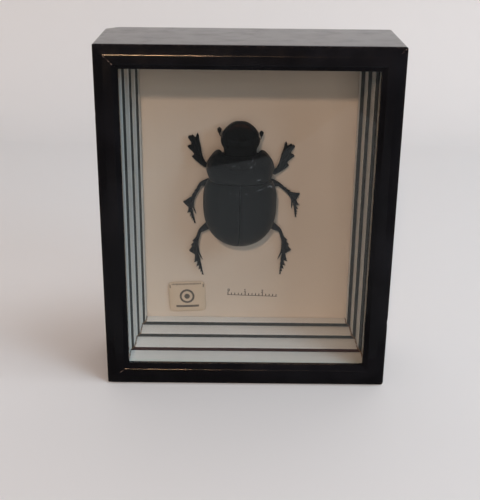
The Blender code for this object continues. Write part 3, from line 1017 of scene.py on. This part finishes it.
# Glints on the breastplate's rough front: middle, half length, angle and height.
FRONT_GLINTS = (
    (10.0, 41.4, 0.9, 6, 0.22),
    (-5.6, 40.6, 0.7, -30, 0.08),
    (-1.8, 40.2, 0.5, 40, 0.06),
    (6.4, 51.0, 0.7, 50, 0.14),
    (5.8, 48.3, 0.6, 20, 0.18),
    (7.8, 50.0, 0.8, 80, 0.10),
    (4.6, 50.0, 0.6, 10, 0.08),
    (-3.4, 48.6, 0.9, 10, 0.05),
    (-1.0, 48.2, 0.8, -5, 0.045),
)


def pronotum_top(x, y, d):
    ahead = y - PRONOTUM_PEAK
    rise = PRONOTUM_RISE * np.sqrt(clamp(1 - np.where(ahead > 0, ahead / 15.2, -ahead / 16.0) ** 2.2))
    along = np.where(y > 44, (y - 44) / 16.5, (44 - y) / 15.0)
    half = 18.3 * np.sqrt(np.clip(1 - along**2.3, 0.05, 1))
    height = rise * (1 - clamp(np.abs(x) / half) ** 2.4 * 0.96) ** 0.55
    front = clamp((y - 44.0) / 5.0) * gauss(x, 8.5)
    height -= 1.7 * front * gauss(y - 50.5, 4.2)
    height += 0.55 * gauss(y - (46.4 + 0.030 * x**2), 0.6) * gauss(x, 6.6)
    for u, v, size, bump in ((-5.6, 47.8, 1.0, 0.5), (6.2, 47.8, 1.0, 0.5), (6.8, 50.4, 0.6, 0.4)):
        height += bump * gauss(np.hypot(x - u, y - v), size)
    height -= 0.05 * gauss(x, 0.4) * clamp((45.0 - y) / 3.0)
    flat = spots(x, y)
    grain = np.clip((y - 43.5) / 4.0, 0.06, 1)
    height += grain * (0.11 * value_noise(flat, 0.85, 8) + 0.08 * value_noise(flat, 0.42, 9))
    height += 0.06 * value_noise(flat, 3.0, 10)
    height += (0.25 * gauss(d - 0.5, 0.35) - 0.20 * gauss(d - 1.35, 0.35)) * clamp((y - 39.5) / 1.5)
    return SEAM_HEIGHT + np.maximum(height, 0.3) * ease(d, np.where(y < 40.0, 0.07, 0.3))


def make_pronotum():
    outline = smooth_ring(mirrored(PRONOTUM_HALF), 5)
    underneath = hollow(SEAM_HEIGHT, 0.9, 0.8)
    points, faces = shell(outline, pronotum_top, underneath, 0.32, (0.04, 0.14, 0.32, 0.6), step=0.35)
    # Painted glints: the raised lines of the breastplate's front are painted pale where light catches them.
    scratch = clamp(raised_lines(points[:, 0], points[:, 1], FRONT_GLINTS) / 0.22)
    scratch *= clamp(0.6 + 0.9 * value_noise(points, 0.5, 17))
    shape = Shape().add(points, faces, scratch=scratch)
    add_to_beetle("breastplate", "breastplate", shape, "pronotum")


def head_top(x, y, d):
    ahead = clamp((y - 52.0) / 18.3)
    half = 11.0 * np.sqrt(np.clip(1 - (np.clip(y - 59, 0, None) / 12.0) ** 2, 0.02, 1))
    t = clamp(np.abs(x) / half)
    height = 10.4 + (5.4 * (1 - ahead**1.3) + 0.4) * (1 - 0.8 * t**2.2)
    height += 0.5 * gauss(d - 0.5, 0.4) - 0.25 * gauss(d - 1.5, 0.6)
    height += 0.55 * gauss(y - (60.2 + 0.02 * x**2), 0.7) * gauss(x, 6.4)
    height += 0.9 * gauss(np.hypot(x + 0.4, y - 60.6), 1.1)
    height -= 0.5 * gauss(y - 57.6, 1.2) * gauss(x, 6.0)
    for u in (-1, 1):
        height += 0.6 * gauss(np.hypot(x - u * 7.6, (y - 56.2) * 0.7), 0.9)
        cheek = gauss(x * u - (6.9 + 0.22 * (y - 60.0)), 0.35)
        height -= 0.3 * cheek * clamp((y - 58) / 2) * (y < 66)
    flat = spots(x, y)
    height += 0.10 * value_noise(flat, 0.75, 11) + 0.07 * value_noise(flat, 0.4, 12)
    return HEAD_HEIGHT + (height - HEAD_HEIGHT) * ease(d, 0.25)


def make_head():
    """The head shield, with a dull red band inside its front rim and two mouthparts on each side."""
    outline = smooth_ring(mirrored(HEAD_HALF), 5)
    underneath = hollow(HEAD_HEIGHT, 0.9, 1.0)
    points, faces = shell(outline, head_top, underneath, 0.28, (0.04, 0.12, 0.28, 0.5), step=0.3)
    inset = edge_distance(points[:, :2], cut_sides(outline, 0.3))
    tint = gauss(inset - 2.0, 0.8) * clamp((points[:, 1] - 65.0) / 2.5) * 0.9
    tint *= clamp(0.75 + 0.5 * value_noise(points, 1.2, 13))
    shape = Shape().add(points, faces, tint=tint)
    for side in (-1, 1):
        for offset in (0.0, 0.7):
            bends = ((4.2, 54.5, 8.6), (5.4, 57.5, 8.2), (4.0, 60.2, 8.0))
            path = [(side * (u + offset), v, w) for u, v, w in bends]
            shape.add(*tube(path, (0.55, 0.5, 0.3), 8))
    add_to_beetle("head_shield", "head", shape, "head")


def make_underside():
    """Breast and belly, with the rings of the belly and the coxae that carry the legs."""
    v = np.linspace(2.6, 53.0, 90)
    u = np.linspace(-1.0, 1.0, 49)
    breast = 17.4 * np.sqrt(np.clip(1 - ((v - 44) / 15.0) ** 2, 0.1, 1))
    half = np.where(v < ELYTRA_LENGTH, elytra_half_width(v), breast) * 0.93
    high = SEAM_HEIGHT - 0.7
    points = []
    for y, w in zip(v, half):
        drop = (high - 0.5) * max(0.12, 1 - abs((y - 26.0) / 27.5) ** 2.4)
        ring = 0.35 * np.abs(np.sin((y - 2.0) * math.pi / 3.4)) if y < 17.5 else 0.0
        depth = (drop - ring) * (1 - np.abs(u) ** 2.0) ** 0.8
        depth += 0.5 * gauss(u * w, 1.5) * clamp((y - 20) / 4)
        points.append(np.column_stack((u * w, np.full(len(u), y), np.maximum(high - depth, 0.45))))
    rows, columns = len(v), len(u)
    shift = rows * columns
    under = np.concatenate(points)
    over = under.copy()
    over[:, 2] = high + 0.02
    faces = []
    for layer, turn in ((0, -1), (shift, 1)):
        for j in range(rows - 1):
            for k in range(columns - 1):
                a = layer + j * columns + k
                faces.append([a, a + 1, a + columns + 1, a + columns][::turn])
    rim = [*range(columns), *range(2 * columns - 1, shift, columns)]
    rim += [*range(shift - 2, shift - columns - 1, -1), *range(shift - 2 * columns, 0, -columns)]
    faces += [[a, b, b + shift, a + shift] for a, b in zip(rim, rim[1:] + rim[:1])]
    shape = Shape().add(np.concatenate((under, over)), faces)
    for side in (-1, 1):
        for hip_v, hip_u, size in ((46.0, 8.2, 2.6), (35.6, 8.6, 3.0), (14.8, 8.6, 2.8)):
            bends = ((-4.5, 0.8, 3.6), (0.0, 0.0, 4.1), (2.6, -0.3, 4.3))
            path = [(side * (hip_u + du), hip_v + dv, w) for du, dv, w in bends]
            shape.add(*tube(path, (size * 0.6, size * 0.75, size * 0.45), 12, 0.7))
    add_to_beetle("breast_and_belly", "limb", shape, "underside", 50)


def make_antennae():
    """Elbowed feelers: a long first joint, a row of beads and a club of three leaves."""
    for name, side, lag in (("left", -1, 0.0), ("right", 1, -1.8)):
        shape = Shape()

        def add_joint(path, radii, sides=8, flatten=1.0):
            shape.add(*tube([(side * u, v + lag, w) for u, v, w in path], radii, sides, flatten))

        add_joint(((8.2, 60.2, 7.6), (9.6, 60.7, 7.5), (11.0, 61.3, 7.4)), (0.28, 0.34, 0.30))
        for i in range(4):
            bead = [(11.1 + 0.2 * t, 61.5 + 0.5 * i + t, 7.4) for t in (0.0, 0.25, 0.48)]
            add_joint(bead, (0.2, 0.34, 0.22))
        for k, (lean, reach) in enumerate(((-0.65, 3.0), (0.05, 3.5), (0.75, 3.0))):
            path = [(11.2 + lean * t, 62.5 + reach * t, 7.4 + 0.12 * k) for t in (0.0, 0.3, 0.65, 0.9, 1.0)]
            add_joint(path, (0.30, 0.62, 0.72, 0.56, 0.22), 10, 0.7)
        add_to_beetle(f"feeler_{name}", "limb", shape, f"antenna_{name}")


# Each leg: hip, knee, the shin's heading and the foot's heading. Headings are measured outward
# from straight ahead for the forelegs and from straight back for the others.
LEGS = {
    "fore_left": ((-9.5, 46.0), (-18.3, 43.9), 22.0, None),
    "fore_right": ((9.5, 46.0), (18.3, 40.2), 27.5, None),
    "middle_left": ((-10.5, 36.0), (-21.6, 33.2), 29.5, -13.8),
    "middle_right": ((10.5, 36.0), (21.6, 33.4), 50.0, 5.0),
    "hind_left": ((-10.5, 14.0), (-22.2, 5.6), 13.5, -13.3),
    "hind_right": ((10.5, 14.0), (22.6, 6.5), 15.5, -5.9),
}
SHIN_STRETCH = {"middle_left": 1.09, "middle_right": 0.94}
# Shin outlines in millimetres: along the shin from the knee, and outward from its middle line.
FORE_SHIN = (
    (-0.6, -0.9), (1.6, -0.4), (4.2, 0.1), (6.9, -0.1), (9.8, -0.8), (12.6, -1.3), (15.0, -1.7),
    (16.6, -2.2), (18.1, -2.1), (17.2, -1.0), (16.4, -0.2), (17.6, 0.4), (18.4, 0.9), (18.0, 1.6),
    (18.4, 2.5), (17.8, 3.6), (16.1, 3.5), (14.5, 3.2), (13.6, 3.6), (13.8, 4.8), (13.2, 5.8),
    (12.4, 5.6), (9.4, 4.3), (8.0, 4.3), (7.5, 5.5), (6.8, 5.5), (3.7, 4.1), (0.8, 2.4), (-0.8, 1.1),
)
MIDDLE_SHIN = (
    (-0.7, -0.9), (2.8, -1.0), (6.0, -1.1), (8.3, -1.4), (10.5, -2.1), (12.6, -3.3), (13.6, -3.9),
    (14.0, -2.2), (14.3, -0.3), (13.9, 1.2), (13.4, 2.9), (12.9, 3.3), (11.2, 2.2), (9.6, 1.4),
    (7.9, 0.5), (7.2, 1.3), (6.6, 0.9), (5.2, 0.5), (4.7, 1.2), (3.9, 0.8), (2.6, 0.5), (2.2, 1.0),
    (-0.7, 0.9),
)
HIND_SHIN = (
    (-0.7, -0.9), (3.1, -0.8), (6.0, -0.7), (8.5, -1.1), (11.3, -2.1), (14.2, -3.3), (14.8, -1.6),
    (15.1, 0.0), (14.7, 1.0), (14.2, 2.5), (13.4, 3.3), (12.0, 2.6), (10.5, 2.1), (9.9, 3.0),
    (9.4, 2.7), (7.8, 1.8), (7.0, 2.7), (6.3, 2.4), (4.6, 1.4), (2.6, 1.1), (-0.7, 0.9),
)
SHINS = {"fore": FORE_SHIN, "middle": MIDDLE_SHIN, "hind": HIND_SHIN}
SPUR_START = {"middle": (13.2, -3.4), "hind": (14.2, -3.0)}
SPUR_REACH = {"middle": (2.7, -3.4), "hind": (3.5, -2.8)}
# The feet's joints: where each ends along the foot, and how far its outer corner flares.
FOOT_START = {"middle": (13.9, -1.8), "hind": (14.3, -1.5)}
FOOT_JOINTS = {
    "middle": ((2.8, 2.4), (5.1, 1.5), (6.9, 1.1), (8.4, 0.75), (9.6, 0.4)),
    "hind": ((4.8, 2.7), (7.8, 2.05), (10.1, 1.45), (12.0, 0.85), (13.6, 0.4)),
}
SHIN_DROP = 0.115


def leg_frame(name):
    """The knee and two unit vectors, along the shin and outward from it."""
    knee, heading = LEGS[name][1:3]
    side = -1 if name.endswith("left") else 1
    ahead = 1 if name.startswith("fore") else -1
    angle = math.radians(heading)
    along = np.array((side * math.sin(angle), ahead * math.cos(angle)))
    return np.array(knee), along, side * ahead * np.array((along[1], -along[0]))


def lay_on_leg(points, origin, along, outward, height):
    """From (along, outward, up) at a joint to the beetle's frame, sloping down towards the foot."""
    points = np.asarray(points, float)
    flat = origin + np.outer(points[:, 0], along) + np.outer(points[:, 1], outward)
    return np.column_stack((flat, height - SHIN_DROP * points[:, 0] + points[:, 2]))


def lens(thickness, reach, ridges=()):
    """A plate's top height: thick in its middle, thin at its edge, with ridges along it."""

    def top(x, y, d):
        height = thickness * ease(d, reach)
        for middle, width, rise in ridges:
            height = height + rise * gauss(y - middle, width) * clamp(d / 0.5) * clamp((x - 1.0) / 2.0)
        return height + 0.05 * value_noise(spots(x, y), 0.6, 14) * clamp(d / 0.3)

    return top


def spine(start, end, radius):
    start, end = np.array(start, float), np.array(end, float)
    path = [start, start * 0.55 + end * 0.45, start * 0.15 + end * 0.85, end]
    return tube(path, (radius, radius * 0.85, radius * 0.45, radius * 0.08), 6)


def make_thigh(name):
    """A flattened spindle, with spines along both edges and a small hinge piece at the hip."""
    hip, knee = (np.array(LEGS[name][k], float) for k in (0, 1))
    reach = (knee - hip) / np.linalg.norm(knee - hip)
    across = np.array((-reach[1], reach[0]))
    stations = np.linspace(0, 1, 16)
    swell = 0.95 + 1.35 * np.sin(stations**0.8 * math.pi) ** 0.8
    start = np.array((*hip, HIP_HEIGHT))
    end = np.array((*(knee + reach * 0.25), KNEE_HEIGHT))
    path = [start + (end - start) * t for t in stations]
    shape = Shape().add(*tube(path, swell, 14, 0.55))
    shape.add(*tube([(*(hip - reach * 0.6), 4.1), (*(hip + reach * 1.6), 4.3)], (1.25, 1.1), 10, 0.7))
    for k in range(12):
        root = hip + (knee - hip) * (0.3 + 0.055 * k)
        out = across * (1 if k % 2 else -1)
        tip = root + out * (2.5 + 0.4 * random.random()) + reach * 0.5
        shape.add(*spine((*(root + out * 1.6), 4.7), (*tip, 4.6), 0.06))
    add_to_beetle(f"{name}_thigh", "limb", shape, f"{name}_femur")


def shin_spines(kind):
    """Each spine's start, end and radius: on the forelegs a fringe along one edge; on the others a fringe
    along both edges and two spurs at the end.
    """
    if kind == "fore":
        fringe = np.arange(2.0, 15.0, 1.1)
        return [((x, -0.4 - 0.06 * x, 0.2), (x + 0.8, -1.1 - 0.06 * x, 0.3), 0.06) for x in fringe]
    (x, y), (along, aside) = SPUR_START[kind], SPUR_REACH[kind]
    spurs = [
        ((x, y, 0.1), (x + along, y + aside, -0.1), 0.42),
        ((x + 0.2, y + 1.2, 0.2), (x + along * 0.9, y + aside * 0.3, 0.1), 0.3),
    ]
    spurs += [((x, 0.5, 0.25), (x + 0.9, 1.5 + 0.09 * x, 0.35), 0.08) for x in np.arange(1.5, 12.5, 1.0)]
    spurs += [((x, -0.8, 0.2), (x + 0.9, -1.5 - 0.1 * x, 0.2), 0.06) for x in np.arange(3.0, 12.0, 1.2)]
    return spurs


def make_shin(name):
    kind = name.split("_")[0]
    knee, along, outward = leg_frame(name)
    along = along * SHIN_STRETCH.get(name, 1.0)
    shape = Shape()
    outline, thickness, ridges = SHINS[kind], 0.75, ((-0.5, 0.3, 0.35), (0.8, 0.3, 0.35))
    if kind == "fore":
        outline = smooth_ring(outline, 3)
        thickness, ridges = 0.85, ((0.2, 0.35, 0.40), (1.7, 0.3, 0.35), (3.2, 0.4, 0.30))

    def lay(points, faces):
        shape.add(lay_on_leg(points, knee, along, outward, KNEE_HEIGHT), faces)

    lay(*shell(outline, lens(thickness, 0.55, ridges), hollow(0.0, 0.55, 0.6), 0.3, (0.05, 0.16), step=0.3))
    for start, end, radius in shin_spines(kind):
        lay(*spine(start, end, radius))
    add_to_beetle(f"{name}_shin", "limb", shape, f"{name}_tibia")


def foot_joint(start, end, flare, inner):
    """A joint's outline, and the start, end and radius of each of its spines."""
    length = end - start
    outline = [
        (start - 0.3, -inner * 0.75), (start + length * 0.8, -inner), (end + 0.15, -inner * 0.85),
        (end, flare * 0.35), (end + 0.12 * length, flare), (end - 0.25 * length, flare * 0.80),
        (start + length * 0.25, flare * 0.52), (start - 0.3, flare * 0.42),
    ]
    spines = (
        ((end - 0.2, flare * 0.8, 0.0), (end + 0.55, flare * 1.18, 0.0), 0.05 + 0.05 * flare),
        ((end - 0.35 * length, flare * 0.7, 0.1), (end - 0.1 * length, flare * 1.2, 0.1), 0.08),
        ((end - 0.2, -inner * 0.8, 0.0), (end + 0.5, -inner * 1.25, 0.0), 0.09),
    )
    return outline, spines


def make_foot(name):
    """Five joints, each flared and spined at its outer end, and a pair of claws."""
    kind = name.split("_")[0]
    knee, along, outward = leg_frame(name)
    side = -1 if name.endswith("left") else 1
    reach, offset = FOOT_START[kind]
    reach *= SHIN_STRETCH.get(name, 1.0)
    ankle = knee + along * reach + outward * offset
    angle = math.radians(LEGS[name][3])
    heading = np.array((side * math.sin(angle), -math.cos(angle)))
    away = side * np.array((-heading[1], heading[0]))
    shape = Shape()

    def lay(points, faces):
        shape.add(lay_on_leg(points, ankle, heading, away, KNEE_HEIGHT - SHIN_DROP * reach), faces)

    start = 0.0
    for end, flare in FOOT_JOINTS[kind]:
        outline, spines = foot_joint(start, end, flare, 0.32 + 0.27 * flare)
        lay(*shell(outline, lens(0.45, 0.35), hollow(0.0, 0.35, 0.3), 0.24, (0.05,), step=0.24))
        for root, tip, radius in spines:
            lay(*spine(root, tip, radius))
        start = end
    for lean in (-0.45, 0.45):
        bends = ((-0.1, 0.0, 0.0), (0.4, 0.7, 0.1), (0.75, 1.3, -0.1), (0.9, 1.5, -0.4))
        lay(*tube([(start + x, lean * y, z) for x, y, z in bends], (0.16, 0.14, 0.09, 0.02), 6))
    add_to_beetle(f"{name}_foot", "limb", shape, f"{name}_tarsus")


def make_beetle():
    make_elytra()
    make_pronotum()
    make_head()
    make_underside()
    make_antennae()
    for name in LEGS:
        make_thigh(name)
        make_shin(name)
        if LEGS[name][3] is not None:
            make_foot(name)


# ---- Stage, lights and camera ----
def add_stage(name, points, faces, material):
    mesh = bpy.data.meshes.new(name)
    mesh.from_pydata(points, [], faces)
    mesh.materials.append(material)
    mesh.shade_smooth()
    stage = bpy.data.objects.new(name, mesh)
    bpy.context.scene.collection.objects.link(stage)
    return stage


def swept(profile, side):
    """A sheet that runs from -side to side, over a profile of (y, z) points in metres."""
    count = len(profile)
    points = [(x, y, z) for x in (-side, side) for y, z in profile]
    return points, [[k + 1, k, count + k, count + k + 1] for k in range(count - 1)]


# The stage, in metres.
WALL_Y, STAGE_FRONT, STAGE_HALF, STAGE_TOP = 0.62, -1.5, 1.6, 1.5
COVE_RADIUS = 0.16
# Parts of the floor that the glass mirrors: a lit table with a slanting edge, and the room beyond.
TABLE = (
    (-0.30, -0.06), (0.25, -0.06), (0.13, -0.684), (0.068, -0.528), (0.030, -0.456),
    (-0.033, -0.416), (-0.30, -0.370),
)
ROOM = ((-0.8, -0.05), (0.8, -0.05), (0.8, -1.4), (-0.8, -1.4))
# Each lit patch: name, outline, height, strength, and whether the lacquer mirrors it as well.
VEILS = (
    ("table_sheen", TABLE, 0.0005, 0.08, True),
    ("table_veil", TABLE, 0.0010, 0.56, False),
    ("room_veil", ROOM, 0.0002, 0.22, False),
)


def make_stage():
    """A pale floor that curves up into a plain wall, and a pale surround that only the camera sees.
    The glass mirrors lit patches in place of the floor itself."""
    bend = [math.pi / 2 * i / 12 for i in range(13)]
    foot = WALL_Y - COVE_RADIUS
    cove = [(foot + COVE_RADIUS * math.sin(a), COVE_RADIUS - COVE_RADIUS * math.cos(a)) for a in bend]
    pale = plain_finish("stage_pale", (0.78, 0.77, 0.76))
    floor = add_stage("floor", *swept([(STAGE_FRONT, 0.0), (foot, 0.0)], STAGE_HALF), pale)
    floor.visible_glossy = floor.visible_transmission = False
    add_stage("wall", *swept([*cove, (WALL_Y, STAGE_TOP)], STAGE_HALF), pale)
    left, right = -STAGE_HALF, STAGE_HALF
    ring = [(left, WALL_Y), (left, STAGE_FRONT), (right, STAGE_FRONT), (right, WALL_Y)]
    points = [(x, y, z) for z in (-0.01, STAGE_TOP) for x, y in ring]
    glow = glow_finish("stage_glow", (0.62, 0.61, 0.60), 1.0)
    surround = add_stage("surround", points, [[k, k + 1, k + 5, k + 4] for k in range(3)], glow)
    surround.visible_glossy = surround.visible_diffuse = surround.visible_transmission = False
    surround.visible_shadow = False
    for name, outline, height, strength, in_lacquer in VEILS:
        corners = [(x, y, height) for x, y in reversed(outline)]
        glow = glow_finish(name, (0.92, 0.96, 1.0), strength)
        patch = add_stage(name, corners, [list(range(len(outline)))], glow)
        patch.visible_camera = patch.visible_diffuse = patch.visible_shadow = False
        patch.visible_glossy = in_lacquer


def add_area(name, place, target, size, watts, colour):
    """A rectangular lamp, or a round one when it has a single size. No lamp is seen itself."""
    light = bpy.data.lights.new(name, "AREA")
    light.shape = "RECTANGLE" if len(size) == 2 else "DISK"
    light.size, light.size_y = size[0], size[-1]
    light.energy = watts
    light.color = colour
    lamp = bpy.data.objects.new(name, light)
    bpy.context.scene.collection.objects.link(lamp)
    lamp.location = place
    lamp.rotation_mode = "QUATERNION"
    lamp.rotation_quaternion = (Vector(target) - Vector(place)).to_track_quat("-Z", "Y")
    lamp.visible_camera = lamp.visible_transmission = False
    return lamp


def towards(azimuth, elevation, distance):
    """A place seen from the box at an azimuth right of straight ahead, and an elevation."""
    a, e = math.radians(azimuth), math.radians(elevation)
    ray = Vector((math.sin(a) * math.cos(e), -math.cos(a) * math.cos(e), math.sin(e)))
    return MIDDLE + ray * distance


ROOM_COLOUR = (1.0, 0.90, 0.86, 1.0)
ROOM_LIGHT, ROOM_MIRRORED = 0.26, 0.022


def make_world():
    """A dim even room, darker still where the gloss and the glass mirror it."""
    world = bpy.data.worlds.new("room_dim")
    world.use_nodes = True
    tree = world.node_tree
    background = tree.nodes["Background"]
    background.inputs["Color"].default_value = ROOM_COLOUR
    ray = tree.nodes.new("ShaderNodeLightPath")
    strength = tree.nodes.new("ShaderNodeMapRange")
    strength.inputs["To Min"].default_value = ROOM_LIGHT
    strength.inputs["To Max"].default_value = ROOM_MIRRORED
    tree.links.new(ray.outputs["Is Glossy Ray"], strength.inputs["Value"])
    tree.links.new(strength.outputs["Result"], background.inputs["Strength"])
    bpy.context.scene.world = world


# Lamps: name, then azimuth, elevation and distance from the box, size, watts and colour.
MIDDLE = Vector((0.0, 0.0, 0.09))
ROOM_LAMPS = (
    ("window", (50, 27, 1.2), (0.42, 0.5), 3.7, (0.56, 0.80, 1.0)),
    ("lamp", (-7, 29, 1.5), (0.085,), 6.3, (1.0, 0.69, 0.51)),
    ("front", (5, 8, 1.5), (1.0, 0.8), 7.8, (1.0, 0.87, 0.80)),
)
# Glints that only the rails mirror.
GLEAMS = (
    ("window_gleam", (50, 22, 1.2), (0.42, 0.5), 4.0, (0.74, 0.88, 1.0)),
    ("lamp_gleam", (-8, 14, 1.5), (0.22, 0.03), 6.5, (1.0, 0.62, 0.36)),
)


def make_lights():
    """Lamps that light without a mirrored image, and gleams that are nothing but one."""
    for name, bearing, size, watts, colour in ROOM_LAMPS:
        add_area(name, towards(*bearing), MIDDLE, size, watts, colour).visible_glossy = False
    wash = add_area("wall_wash", (0.5, -0.2, 1.3), (0.1, 0.6, 0.3), (0.8, 0.5), 7.3, (0.86, 0.95, 1.04))
    wash.visible_glossy = False
    rails = [piece for piece in bpy.data.objects if piece.name.startswith("lacquered_rail")]
    for name, bearing, size, watts, colour in GLEAMS:
        gleam = add_area(name, towards(*bearing), MIDDLE, size, watts, colour)
        gleam.visible_diffuse = False
        group = bpy.data.collections.new(f"{name}_on")
        for rail in rails:
            group.objects.link(rail)
        gleam.light_linking.receiver_collection = group
    make_world()


CAMERA_PLACE = (-4.7, -466.45, 257.8)
CAMERA_PITCH, CAMERA_YAW, CAMERA_ROLL = 22.10, 0.12, 0.62
CAMERA_LENS = 66.64


def make_camera():
    data = bpy.data.cameras.new("camera")
    data.lens = CAMERA_LENS
    data.sensor_width = 36.0
    data.clip_start, data.clip_end = 0.01, 20.0
    camera = bpy.data.objects.new("camera", data)
    bpy.context.scene.collection.objects.link(camera)
    pitch, yaw, roll = (math.radians(a) for a in (CAMERA_PITCH, CAMERA_YAW, CAMERA_ROLL))
    forward = Vector((math.sin(yaw) * math.cos(pitch), math.cos(yaw) * math.cos(pitch), -math.sin(pitch)))
    right = Vector((math.cos(yaw), -math.sin(yaw), 0.0))
    up = right.cross(forward)
    tilted_right = right * math.cos(roll) + up * math.sin(roll)
    tilted_up = up * math.cos(roll) - right * math.sin(roll)
    axes = Matrix((tilted_right, tilted_up, -forward)).transposed()
    camera.matrix_world = Matrix.Translation(Vector(CAMERA_PLACE) * MM) @ axes.to_4x4()
    bpy.context.scene.camera = camera


def main():
    make_camera()
    make_rails()
    make_liner()
    finish_others()
    make_sachet()
    make_scale_bar()
    make_beetle()
    make_stage()
    make_lights()
    scene = bpy.context.scene
    scene.view_settings.view_transform = "Standard"
    scene.cycles.caustics_refractive = False
    scene.cycles.caustics_reflective = False


main()
